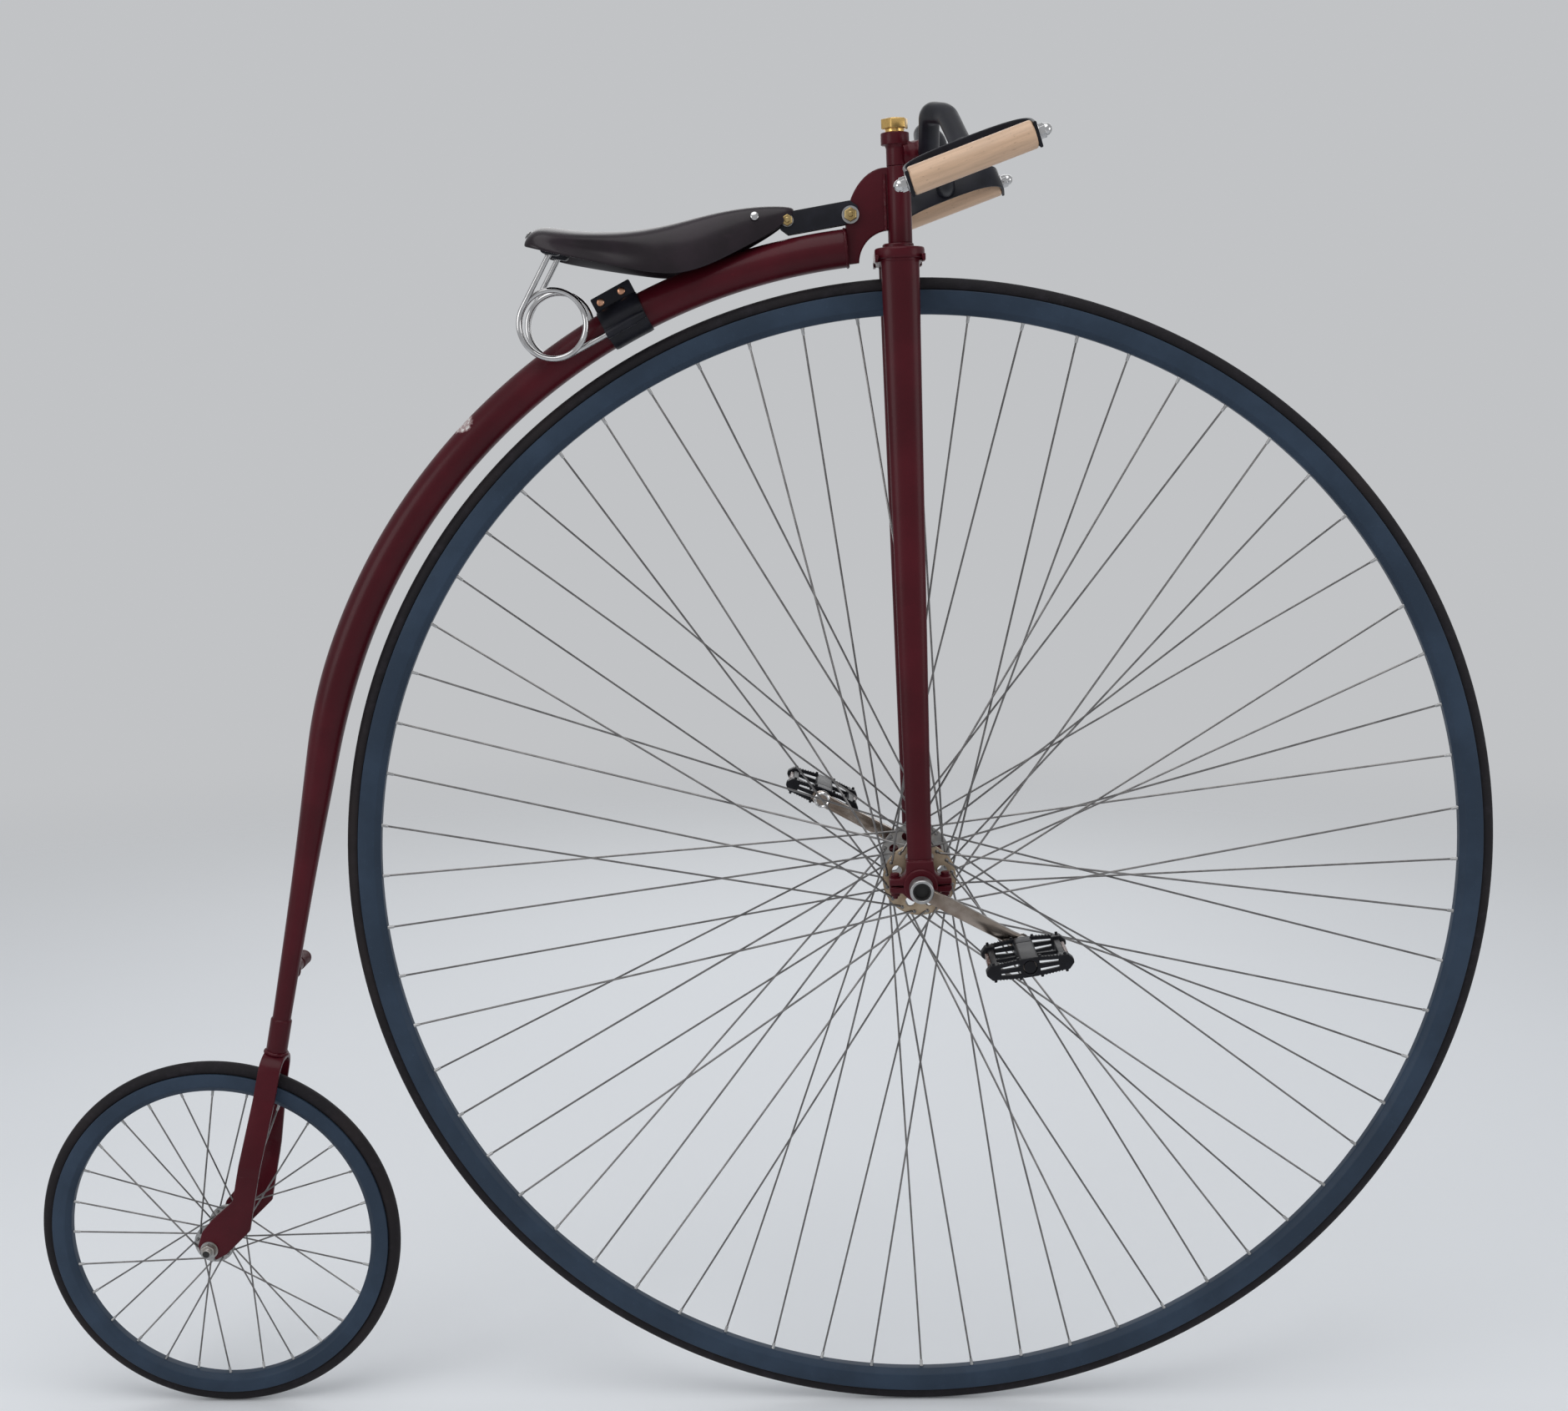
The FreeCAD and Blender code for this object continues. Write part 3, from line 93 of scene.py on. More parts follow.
PEDAL_SPAN = (reach("pedal_left")[0].y, reach("pedal_left")[1].y)
GROUND = -FRONT_RADIUS
CROWN_LEVEL = FRONT_RADIUS + 35.9  # the backbone's centreline over the front axle


# ---------------------------------------------------------------- sizes and colours
def length(name, description, default):
    return bpy.props.FloatProperty(name=name, description=description, default=default * MM, unit="LENGTH")


def colour(name, description, default):
    return bpy.props.FloatVectorProperty(
        name=name, description=description, default=default, subtype="COLOR", size=3, min=0.0, max=1.0
    )


def number(name, description, default):
    return bpy.props.IntProperty(name=name, description=description, default=default)


def angular(name, description, default):
    turn = math.radians(default)
    return bpy.props.FloatProperty(name=name, description=description, default=turn, subtype="ANGLE")


class WheelSizes(bpy.types.PropertyGroup):
    """Sizes of the two wheels."""

    front_spokes: number("Front spokes", "Spokes in the tall wheel", 64)
    rear_spokes: number("Rear spokes", "Spokes in the small wheel", 28)
    front_wire: length("Front spoke", "Diameter of a front spoke", 2.35)
    rear_wire: length("Rear spoke", "Diameter of a rear spoke", 2.0)
    front_rim: length("Front rim", "Front rim from its lip to its inner face", 25.9)
    rear_rim: length("Rear rim", "Rear rim from its lip to its inner face", 21.6)
    front_flange: length("Front flange", "Radius of the front hub's flanges", 41.5)
    rear_flange: length("Rear flange", "Radius of the rear hub's flanges", 24.0)
    front_lacing: angular("Front lacing", "Angle from a front spoke's rim hole to its hub hole", 60.0)
    rear_lacing: angular("Rear lacing", "Angle from a rear spoke's rim hole to its hub hole", 52.0)


class FrameSizes(bpy.types.PropertyGroup):
    """Sizes of the backbone, the fork and the handlebar."""

    backbone: length("Backbone", "Diameter of the backbone over the wheel", 41.0)
    tail: length("Tail", "Diameter of the backbone's lower end", 20.4)
    blade_top: length("Blade top", "Fork blade fore and aft, under the crown", 41.5)
    blade_foot: length("Blade foot", "Fork blade fore and aft, over the bearing", 27.0)
    bar: length("Handlebar", "Diameter of the handlebar", 22.0)
    grip: length("Grip", "Diameter of a grip", 28.0)
    crank: length("Crank boss", "Diameter of a crank's boss", 26.6)


class SaddleSizes(bpy.types.PropertyGroup):
    """Sizes of the saddle and its springs."""

    leather: length("Leather", "Thickness of the leather", 4.2)
    wire: length("Spring wire", "Diameter of the spring wire", 6.2)
    coil: length("Coil", "Radius of the spring's coil, to the wire's middle", 36.3)


class Colours(bpy.types.PropertyGroup):
    """Colours of the finishes."""

    maroon: colour("Maroon", "Paint of the backbone and the fork", (0.0605, 0.0046, 0.0092))
    slate: colour("Slate blue", "Paint of the rims", (0.027, 0.0435, 0.070))
    rubber: colour("Rubber", "Tyres", (0.0085, 0.0073, 0.0092))
    leather: colour("Leather", "Saddle", (0.0125, 0.0072, 0.0108))
    wood: colour("Wood", "Grips", (0.62, 0.415, 0.275))
    black: colour("Black", "Straps, clamp and handlebar", (0.0062, 0.0064, 0.0098))
    plastic: colour("Plastic", "Pedals", (0.0045, 0.0046, 0.0068))
    amber: colour("Amber", "Pedal reflectors", (0.075, 0.016, 0.004))
    brass: colour("Brass", "Plug on the head", (0.64, 0.42, 0.15))
    backdrop: colour("Backdrop", "What the camera sees behind the bicycle", (0.535, 0.545, 0.56))
    floor: colour("Floor", "Studio floor", (0.84, 0.86, 0.885))


SIZE_GROUPS = {"wheels": WheelSizes, "frame": FrameSizes, "saddle": SaddleSizes, "colours": Colours}


def chosen(group):
    """The settings of one group, as the panel has them."""
    return getattr(bpy.context.scene, "farthing_" + group)


def mm(value):
    return value / MM


# ---------------------------------------------------------------- lines and outlines
def polar(radius, angle, y=0.0):
    """A point of the wheel's plane, its angle in degrees up from straight ahead."""
    turn = math.radians(angle)
    return Vector((radius * math.cos(turn), y, radius * math.sin(turn)))


STRAIGHT = 1.56  # half of a corner's angle in radians, from which the corner counts as straight


def rounded(corners, closed=True, steps=5):
    """A line through corners, each a point and its bend's radius."""
    points = [Vector(corner[0]) for corner in corners]
    line = []
    last = len(points) - 1
    for i, (point, radius) in enumerate(zip(points, (corner[1] for corner in corners))):
        if radius <= 0 or (not closed and i in (0, last)):
            line.append(point)
            continue
        back = (points[i - 1] - point).normalized()
        ahead = (points[(i + 1) % len(points)] - point).normalized()
        half = back.angle(ahead) / 2
        if half > STRAIGHT:
            line.append(point)
            continue
        centre = point + (back + ahead).normalized() * (radius / math.sin(half))
        first = point + back * (radius / math.tan(half)) - centre
        final = point + ahead * (radius / math.tan(half)) - centre
        sweep = math.pi - 2 * half
        for k in range(steps + 1):
            share = k / steps
            mixed = first * math.sin((1 - share) * sweep) + final * math.sin(share * sweep)
            line.append(centre + mixed / math.sin(sweep))
    return line


def circle(radius, centre=(0.0, 0.0), steps=32, start=0.0, turn=360.0, squash=1.0):
    """Points round a circle or a part of one, in a plane. squash flattens it upwards."""
    whole = abs(turn) >= 360
    count = steps if whole else steps + 1
    points = []
    for k in range(count):
        angle = math.radians(start + turn * k / steps)
        x, y = radius * math.cos(angle), radius * squash * math.sin(angle)
        points.append(Vector((centre[0] + x, centre[1] + y)))
    return points


def area(outline):
    pairs = zip(outline, outline[1:] + outline[:1])
    return sum(a.x * b.y - b.x * a.y for a, b in pairs) / 2


def inset(outline, distance):
    """The outline moved to its left by distance."""
    count = len(outline)
    moved = []
    for i, point in enumerate(outline):
        before = (point - outline[i - 1]).normalized()
        after = (outline[(i + 1) % count] - point).normalized()
        left = Vector((-before.y - after.y, before.x + after.x))
        if left.length < 1e-6:
            moved.append(point.copy())
            continue
        left.normalize()
        cosine = max(0.4, left.dot(Vector((-before.y, before.x))))
        moved.append(point + left * (distance / cosine))
    return moved


def along_points(table, share):
    """A value at share from a table of (share, value), straight between its rows."""
    for (a, low), (b, high) in zip(table, table[1:]):
        if share <= b:
            return low + (high - low) * (share - a) / (b - a)
    return table[-1][1]


def spread(count, low=0.0, high=1.0):
    return [low + (high - low) * k / (count - 1) for k in range(count)]


def oblong(low, high, bend, steps=5):
    """Rectangle between two of its corners, each corner rounded."""
    (left, foot), (right, top) = low, high
    corners = ((left, foot), (right, foot), (right, top), (left, top))
    return rounded([(corner, bend) for corner in corners], steps=steps)


def doubled(half, across=1, over=1):
    """Corners of a whole outline from half of them. across or over is -1 to mirror the other half."""
    return half + [((a * across, b * over), bend) for (a, b), bend in reversed(half)]


# ---------------------------------------------------------------- forms
SIDE_ON = Matrix(((1, 0, 0, 0), (0, 0, 1, 0), (0, 1, 0, 0), (0, 0, 0, 1)))  # outline in XZ, thick along Y
FLAT = Matrix.Identity(4)  # outline in XY, thick along Z
UP = (0.0, 0.0, 1.0)
BEVEL_TURNS = [math.radians(turn) for turn in (0, 30, 60, 90)]  # steps round a plate's edge
WELD_GAP = 0.004  # vertices nearer than this are joined


def facing(origin, way, top=Vector(UP)):
    """Lays an outline across way at origin, its second direction as near top as it goes."""
    way = Vector(way).normalized()
    first = Vector(top).cross(way)
    if first.length < 1e-3:
        first = way.orthogonal()
    first.normalize()
    second = way.cross(first)
    lay = Matrix((first, second, way)).transposed().to_4x4()
    lay.translation = origin
    return lay


class Form:
    """A mesh in the making, in millimetres about the front axle."""

    def __init__(self):
        self.mesh = bmesh.new()

    def skin(self, rows, round_columns=True, round_rows=False):
        """Faces between one row of points and the next."""
        made = [[self.mesh.verts.new(point) for point in row] for row in rows]
        pairs = list(zip(made, made[1:]))
        if round_rows:
            pairs.append((made[-1], made[0]))
        for near, far in pairs:
            count = len(near)
            for i in range(count if round_columns else count - 1):
                j = (i + 1) % count
                self.mesh.faces.new((near[i], near[j], far[j], far[i]))
        return made

    def turn(self, profile, centre=(0, 0, 0), way=(0, 1, 0), sides=48, closed=None):
        """Revolves (radius, along) points about a line through centre, closed if they start off that line."""
        closed = profile[0][0] > 0 if closed is None else closed
        lay = facing(Vector(centre), way)
        rows = []
        for k in range(sides):
            angle = 2 * math.pi * k / sides
            spoke = Vector((math.cos(angle), math.sin(angle), 0))
            rows.append([lay @ (spoke * radius + Vector((0, 0, step))) for radius, step in profile])
        self.skin(rows, round_columns=closed, round_rows=True)
        return self

    def lathe(self, corners, start, way, sides, steps=3):
        """Solid turned from corners that begin and end on its axis, each with its bend's radius."""
        return self.turn(rounded(corners, closed=False, steps=steps), start, way, sides)

    def shaft(self, radius, start, end, bevel, sides):
        """Round bar between two points, with a bevel at both ends."""
        start, end = Vector(start), Vector(end)
        long = (end - start).length
        half = [(0, 0), (radius - bevel, 0), (radius, bevel)]
        profile = half + [(size, long - step) for size, step in reversed(half)]
        return self.turn(profile, start, end - start, sides)

    def sweep(self, line, section, side=(0, 1, 0)):
        """Skins section(index) along a line. A section lists (sideways, over) points."""
        rows = []
        side = Vector(side)
        last = len(line) - 1
        for i, point in enumerate(line):
            way = (line[min(i + 1, last)] - line[max(i - 1, 0)]).normalized()
            side = (side - way * side.dot(way)).normalized()
            over = side.cross(way)
            rows.append([point + side * a + over * b for a, b in section(i)])
        made = self.skin(rows)
        self.mesh.faces.new(made[0])
        self.mesh.faces.new(made[-1])
        return self

    def tube(self, line, radius, sides=24, side=(0, 1, 0)):
        """Round tube whose radius is a number or a function of the point's index."""
        def section(i):
            size = radius(i) if callable(radius) else radius
            return circle(size, steps=sides)
        return self.sweep(line, section, side)

    def plate(self, outlines, low, high, bevel=0.6, lay=SIDE_ON):
        """Flat plate with rounded edges. The first outline is its rim and the others are holes."""
        turned = []
        for i, outline in enumerate(outlines):
            outline = [Vector((p[0], p[1])) for p in outline]
            forward = area(outline) > 0
            turned.append(outline if forward == (i == 0) else outline[::-1])
        low, high = min(low, high), max(low, high)
        rises = [(bevel * (1 - math.cos(turn)), bevel * (1 - math.sin(turn))) for turn in BEVEL_TURNS]
        steps = [(inward, low + up) for up, inward in rises]
        steps += [(inward, high - up) for up, inward in reversed(rises)]
        feet, tops = [], []
        for outline in turned:
            rows = []
            for inward, level in steps:
                moved = inset(outline, inward) if inward else outline
                rows.append([lay @ Vector((p.x, p.y, level)) for p in moved])
            made = self.skin(rows)
            feet += self.edges_of(made[0])
            tops += self.edges_of(made[-1])
        for edges in (feet, tops):
            bmesh.ops.triangle_fill(self.mesh, use_beauty=True, use_dissolve=False, edges=edges)
        return self

    def edges_of(self, ring):
        return [self.mesh.edges.get((a, b)) for a, b in zip(ring, ring[1:] + ring[:1])]

    def hexagon(self, radius, start, way, high, bevel=0.5):
        """Hexagonal prism standing at start, its corners rounded over."""
        corners = [(corner, radius * 0.06) for corner in circle(radius, steps=6, start=30)]
        return self.plate([rounded(corners, steps=2)], 0, high, bevel, facing(Vector(start), way))

    def disc(self, radius, start, way, high, sides=32):
        """Round disc standing at start."""
        return self.turn([(0, 0), (radius, 0), (radius, high), (0, high)], start, way, sides)

    def nut(self, radius, start, way, high):
        """Hexagon on a thin washer."""
        way = Vector(way).normalized()
        self.disc(radius * 1.22, start, way, 1.1)
        return self.hexagon(radius, Vector(start) + way * 1.0, way, high)

    def dome(self, radius, start, way, high, sides=24):
        """Low round head."""
        arc = [math.radians(turn) for turn in range(0, 91, 15)]
        profile = [(0, 0)] + [(radius * math.cos(turn), high * math.sin(turn)) for turn in arc]
        return self.turn(profile, start, way, sides)

    def bead(self, radius, thick, start, way, steps, sides, squash=1.0):
        """Ring of weld metal round a line through start."""
        return self.turn(circle(thick, (radius, 0.0), steps, squash=squash), start, way, sides)

    def changed(self, matrix):
        self.mesh.transform(matrix)
        return self

    def lumpy(self, depth, grain):
        """Pushes the surface about a little, as in weld metal."""
        self.mesh.normal_update()
        for vert in self.mesh.verts:
            vert.co += vert.normal * (noise.noise(vert.co / grain) * depth)
        return self

    def piece(self, name, slot, body, stands_for=(), sharp=38.0, finish=None):
        """Sets the form in the frame as one piece on its body."""
        bmesh.ops.remove_doubles(self.mesh, verts=self.mesh.verts, dist=WELD_GAP)
        bmesh.ops.recalc_face_normals(self.mesh, faces=self.mesh.faces)
        self.mesh.transform(IN_FRAME)
        data = bpy.data.meshes.new(name)
        self.mesh.to_mesh(data)
        self.mesh.free()
        data.shade_smooth()
        data.set_sharp_from_angle(angle=math.radians(sharp))
        data.materials.append(surface(finish or slot))
        thing = bpy.data.objects.new(name, data)
        bpy.context.scene.collection.objects.link(thing)
        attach(thing, body)
        if stands_for:
            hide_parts(*stands_for)
        return thing


def dress(node, slot):
    """Gives a CAD node that stays its finish."""
    data = frame["nodes"][node].data
    data.materials.clear()
    data.materials.append(surface(slot))


# ---------------------------------------------------------------- finishes
class Wire:
    """One shader socket. Sums on it add Math nodes."""

    def __init__(self, shade, socket):
        self.shade = shade
        self.socket = socket

    def math(self, operation, *terms):
        return self.shade.node("ShaderNodeMath", {"operation": operation}, dict(enumerate(terms)))

    def __add__(self, other):
        return self.math("ADD", self, other)

    def __radd__(self, other):
        return self.math("ADD", other, self)

    def __sub__(self, other):
        return self.math("SUBTRACT", self, other)

    def __rsub__(self, other):
        return self.math("SUBTRACT", other, self)

    def __mul__(self, other):
        return self.math("MULTIPLY", self, other)

    def __rmul__(self, other):
        return self.math("MULTIPLY", other, self)

    def between(self, low, high):
        """0 below low, 1 above high, and smooth between."""
        settings = {"interpolation_type": "SMOOTHSTEP"}
        inputs = {"Value": self, "From Min": low, "From Max": high}
        return self.shade.node("ShaderNodeMapRange", settings, inputs)


class Shade:
    """The nodes of one material, with a Principled shader at their end."""

    def __init__(self, name, **sockets):
        self.material = bpy.data.materials.new(name)
        self.material.use_nodes = True
        self.tree = self.material.node_tree
        self.tree.nodes.clear()
        self.shader = self.tree.nodes.new("ShaderNodeBsdfPrincipled")
        self.out = self.tree.nodes.new("ShaderNodeOutputMaterial")
        self.tree.links.new(self.shader.outputs["BSDF"], self.out.inputs["Surface"])
        self.place = self.node("ShaderNodeTexCoord", output="Object")
        self.set(**sockets)

    def node(self, kind, settings=None, inputs=None, output=0):
        made = self.tree.nodes.new(kind)
        for setting, value in (settings or {}).items():
            setattr(made, setting, value)
        for place, value in (inputs or {}).items():
            self.feed(made.inputs[place], value)
        return Wire(self, made.outputs[output])

    def feed(self, socket, value):
        if isinstance(value, Wire):
            self.tree.links.new(value.socket, socket)
        else:
            socket.default_value = value

    def set(self, **sockets):
        """Feeds the shader's sockets: base_color is Base Color and so on."""
        for name, value in sockets.items():
            label = name.replace("_", " ").title().replace("Ior", "IOR")
            if not isinstance(value, (Wire, float, int)):
                value = (*value, 1.0) if len(value) == 3 else value
            self.feed(self.shader.inputs[label], value)
        return self

    def noise(self, scale, detail=3.0, roughness=0.55, place=None):
        inputs = {"Vector": place or self.place, "Scale": scale, "Detail": detail, "Roughness": roughness}
        return self.node("ShaderNodeTexNoise", None, inputs)

    def cells(self, scale, feature="F1"):
        return self.node("ShaderNodeTexVoronoi", {"feature": feature}, {"Vector": self.place, "Scale": scale})

    def stretched(self, scale, turn=(0.0, 0.0, 0.0)):
        """The place, turned and then scaled unevenly."""
        turned = self.node("ShaderNodeMapping", None, {"Vector": self.place, "Rotation": turn})
        return self.node("ShaderNodeMapping", None, {"Vector": turned, "Scale": scale})

    def mix(self, share, first, second):
        first, second = (c if isinstance(c, Wire) else (*c, 1.0) for c in (first, second))
        return self.node("ShaderNodeMix", {"data_type": "RGBA"}, {0: share, 6: first, 7: second}, output=2)

    def bump(self, height, distance):
        """Raises the surface by height, where 1 is distance in millimetres."""
        inputs = {"Height": height, "Distance": distance * MM}
        return self.set(normal=self.node("ShaderNodeBump", None, inputs))

    def away_from(self, point):
        """Distance in metres from a point of the frame."""
        inputs = {0: self.place, 1: point}
        return self.node("ShaderNodeVectorMath", {"operation": "DISTANCE"}, inputs, output="Value")

    def base(self):
        """What feeds the base colour so far."""
        return Wire(self, self.shader.inputs["Base Color"].links[0].from_socket)


def tinted(colour, factor):
    return [min(1.0, part * factor) for part in colour]


MAROON_GLOSS = (0.3, 0.07)  # roughness and weight of the coat


def gloss_paint(name, colour, roughness, coat):
    """Thick enamel: slight orange peel, faint mottling and dust."""
    shade = Shade(name, coat_roughness=0.16, specular_ior_level=0.14)
    cloud = shade.noise(9.0, 4.0, 0.6)
    speck = shade.noise(190.0, 3.0, 0.7)
    base = shade.mix(cloud.between(0.35, 0.7), tinted(colour, 0.86), tinted(colour, 1.2))
    base = shade.mix(speck.between(0.6, 0.78) * 0.25, base, tinted(colour, 1.9))
    peel = shade.noise(330.0, 2.0, 0.5)
    shade.set(base_color=base, roughness=roughness + 0.12 * cloud, coat_weight=coat)
    return shade.bump(peel + 0.25 * speck, 0.11)


def maroon_paint():
    return gloss_paint("maroon paint", chosen("colours").maroon, *MAROON_GLOSS)


def chipped_paint():
    """The backbone's paint, with one chip down to grey primer and bare steel."""
    shade = gloss_paint("chipped maroon paint", chosen("colours").maroon, *MAROON_GLOSS)
    centre = polar(CROWN_LEVEL + 17.0, CHIP_ANGLE, -8.0)
    ragged = shade.away_from(IN_FRAME @ centre) + (shade.noise(120.0, 3.0, 0.6) - 0.5) * 0.014
    bare = 1.0 - ragged.between(0.0098, 0.0108)
    edge = (1.0 - ragged.between(0.0108, 0.0128)) - bare
    patch = shade.mix(shade.noise(260.0).between(0.42, 0.62), (0.33, 0.24, 0.24), (0.62, 0.60, 0.58))
    base = shade.mix(edge * 0.6, shade.mix(bare, shade.base(), patch), (0.42, 0.30, 0.30))
    shade.set(base_color=base, coat_weight=MAROON_GLOSS[1] * (1.0 - bare))
    peel = shade.noise(330.0, 2.0, 0.5)
    return shade.bump(0.3 * peel - bare, 0.35)


def slate_paint():
    return gloss_paint("slate blue paint", chosen("colours").slate, 0.4, 0.05)


def black_paint():
    """Satin black on steel, with a grey sheen."""
    colour = chosen("colours").black
    shade = Shade("black paint", coat_roughness=0.25, specular_ior_level=0.2)
    cloud = shade.noise(45.0, 4.0, 0.6)
    base = shade.mix(cloud.between(0.3, 0.75), colour, tinted(colour, 1.9))
    shade.set(base_color=base, roughness=0.34 + 0.2 * cloud, coat_weight=0.05)
    return shade.bump(shade.noise(420.0, 2.0), 0.07)


def bright_metal(name, low, high, roughness, grain=0.12, rub=0.012):
    """Plated steel: soft clouds of tone and fine rubbing."""
    shade = Shade(name, metallic=1.0)
    cloud = shade.noise(60.0, 4.0, 0.6)
    fine = shade.noise(900.0, 2.0, 0.6)
    shade.set(base_color=shade.mix(cloud.between(0.3, 0.7), low, high), roughness=roughness + grain * cloud)
    return shade.bump(fine, rub)


def zinc_plate():
    """Dull plate with a dusting of yellow tarnish."""
    shade = bright_metal("zinc plate", (0.30, 0.30, 0.30), (0.46, 0.455, 0.445), 0.34, grain=0.2)
    stain = shade.noise(38.0, 5.0, 0.65).between(0.48, 0.72)
    return shade.set(base_color=shade.mix(stain * 0.45, shade.base(), (0.34, 0.27, 0.20)))


def polished_steel():
    """Forged arm, ground flat along its length, brown where it is worn."""
    shade = Shade("polished steel", metallic=1.0)
    along = shade.stretched((160.0, 160.0, 2200.0), (0.0, math.radians(CRANK_ANGLE), 0.0))
    lines = shade.noise(1.0, 3.0, 0.7, along)
    cloud = shade.noise(28.0, 4.0, 0.6)
    base = shade.mix(cloud.between(0.38, 0.66), (0.20, 0.155, 0.125), (0.34, 0.29, 0.25))
    shade.set(base_color=base, roughness=0.13 + 0.12 * lines)
    return shade.bump(lines, 0.012)


def brass():
    """Yellow brass with darker tarnish in patches."""
    colour = chosen("colours").brass
    shade = Shade("brass", metallic=1.0)
    tarnish = shade.noise(110.0, 5.0, 0.65)
    base = shade.mix(tarnish.between(0.45, 0.75), tinted(colour, 1.1), tinted(colour, 0.7))
    shade.set(base_color=base, roughness=0.18 + 0.2 * tarnish)
    return shade.bump(tarnish, 0.03)


def rubber():
    """Black tyre, brown and dusty on its tread."""
    colour = chosen("colours").rubber
    shade = Shade("rubber", specular_ior_level=0.2)
    dust = shade.noise(70.0, 5.0, 0.7)
    coarse = shade.noise(5.0, 3.0, 0.5)
    base = shade.mix(dust.between(0.45, 0.8), colour, tinted(colour, 2.4))
    base = shade.mix(coarse.between(0.5, 0.75) * 0.5, base, (0.026, 0.019, 0.018))
    shade.set(base_color=base, roughness=0.55 + 0.25 * dust)
    return shade.bump(shade.noise(500.0, 3.0, 0.7), 0.12)


def plastic():
    """Moulded plastic with a faint spark-eroded grain."""
    colour = chosen("colours").plastic
    shade = Shade("moulded plastic", specular_ior_level=0.22)
    grain = shade.noise(900.0, 2.0, 0.6)
    dust = shade.noise(80.0, 4.0, 0.6)
    base = shade.mix(dust.between(0.5, 0.8), colour, tinted(colour, 2.6))
    shade.set(base_color=base, roughness=0.34 + 0.2 * dust)
    return shade.bump(grain, 0.06)


def amber():
    """Reflector with small facet cells under a clear face; the same cells also paint each one lighter at its
    middle and darker at its edges, as painted light and shade.
    """
    colour = chosen("colours").amber
    shade = Shade("amber reflector", coat_roughness=0.05, specular_ior_level=0.3)
    facets_and_painted_shade = shade.cells(620.0)
    # lighter and darker copies of the amber by facet cell: painted highlight and shade
    base = shade.mix(facets_and_painted_shade, tinted(colour, 1.35), tinted(colour, 0.35))
    shade.set(base_color=base, roughness=0.15 + 0.2 * facets_and_painted_shade, coat_weight=0.15)
    return shade.bump(facets_and_painted_shade, 0.25)


def wood():
    """Pale maple with long streaks along the grip and a thin clear coat."""
    colour = chosen("colours").wood
    shade = Shade("maple", coat_roughness=0.3)
    rise = math.radians(GRIP_RISE)
    streaks = shade.noise(1.0, 4.0, 0.6, shade.stretched((14.0, 210.0, 210.0), (0.0, rise, 0.0)))
    pores = shade.noise(1.0, 3.0, 0.7, shade.stretched((60.0, 1300.0, 1300.0), (0.0, rise, 0.0)))
    flecks = shade.noise(420.0, 2.0, 0.7, shade.stretched((0.45, 1.0, 1.0), (0.0, rise, 0.0)))
    base = shade.mix(streaks.between(0.3, 0.7), tinted(colour, 0.86), tinted(colour, 1.06))
    base = shade.mix(pores.between(0.58, 0.72) * 0.3, base, tinted(colour, 0.5))
    base = shade.mix(flecks.between(0.62, 0.74) * 0.5, base, tinted(colour, 0.4))
    shade.set(base_color=base, roughness=0.42 + 0.15 * streaks, coat_weight=0.2)
    return shade.bump(streaks - 0.4 * pores, 0.08)


def leather():
    """Polished dark hide: fine grain, soft creases and a waxy gloss."""
    colour = chosen("colours").leather
    shade = Shade("saddle leather", coat_roughness=0.2, specular_ior_level=0.2)
    grain = shade.cells(520.0, feature="SMOOTH_F1")
    fold = shade.noise(1.0, 4.0, 0.6, shade.stretched((30.0, 30.0, 75.0)))
    wear = shade.noise(14.0, 4.0, 0.6)
    base = shade.mix(wear.between(0.36, 0.7), tinted(colour, 0.75), tinted(colour, 1.5))
    base = shade.mix(fold.between(0.56, 0.74) * 0.4, base, tinted(colour, 1.9))
    shade.set(base_color=base, roughness=0.27 + 0.16 * wear, coat_weight=0.16)
    return shade.bump(0.25 * grain + fold, 0.12)


def grey_plastic():
    """Glossy dark grey moulding round a pedal's spindle."""
    shade = Shade("grey moulding", specular_ior_level=0.1)
    cloud = shade.noise(50.0, 3.0)
    base = shade.mix(cloud, (0.0045, 0.0047, 0.0075), (0.0085, 0.009, 0.0135))
    shade.set(base_color=base, roughness=0.3 + 0.15 * cloud)
    return shade.bump(shade.noise(700.0), 0.04)


def painted_shade_in_holes():
    """Near-black colour painted inside recesses and holes as their shade."""
    shade = Shade("dark recess")
    cloud = shade.noise(90.0)
    base = shade.mix(cloud, (0.004, 0.004, 0.004), (0.012, 0.011, 0.01))
    shade.set(base_color=base, roughness=0.5 + 0.2 * cloud)
    return shade.bump(cloud, 0.05)


# Plated finishes: name, darker and lighter tone, roughness, and then the clouds' part in it and the rubbing
# where these aren't as usual.
PLATED = {
    "golden": ("golden zinc plate", (0.30, 0.225, 0.155), (0.46, 0.37, 0.27), 0.38, 0.2),
    "yellow_zinc": ("yellow zinc plate", (0.30, 0.20, 0.075), (0.52, 0.39, 0.18), 0.22),
    "spoke_steel": ("spoke wire", (0.14, 0.135, 0.135), (0.23, 0.222, 0.218), 0.32),
    "nipple": ("nipple plate", (0.30, 0.30, 0.30), (0.46, 0.46, 0.46), 0.3),
    "chrome": ("chrome plate", (0.46, 0.455, 0.455), (0.56, 0.555, 0.555), 0.09, 0.03, 0.001),
    "copper": ("copper", (0.50, 0.24, 0.14), (0.72, 0.42, 0.28), 0.25),
}
FINISHES = {
    "paint_maroon": maroon_paint,
    "chipped": chipped_paint,
    "paint_blue": slate_paint,
    "black_steel": black_paint,
    "zinc_steel": zinc_plate,
    "polished_steel": polished_steel,
    "brass": brass,
    "saddle_leather": leather,
    "wood": wood,
    "tyre": rubber,
    "black_plastic": plastic,
    "grey_plastic": grey_plastic,
    "amber_plastic": amber,
    # painted shade: near-black colour inside recesses and holes
    "recess": painted_shade_in_holes,
}
MADE = {}


def surface(name):
    """The material of that finish, made when it is first used."""
    if name not in MADE:
        shade = bright_metal(*PLATED[name]) if name in PLATED else FINISHES[name]()
        MADE[name] = shade.material
    return MADE[name]


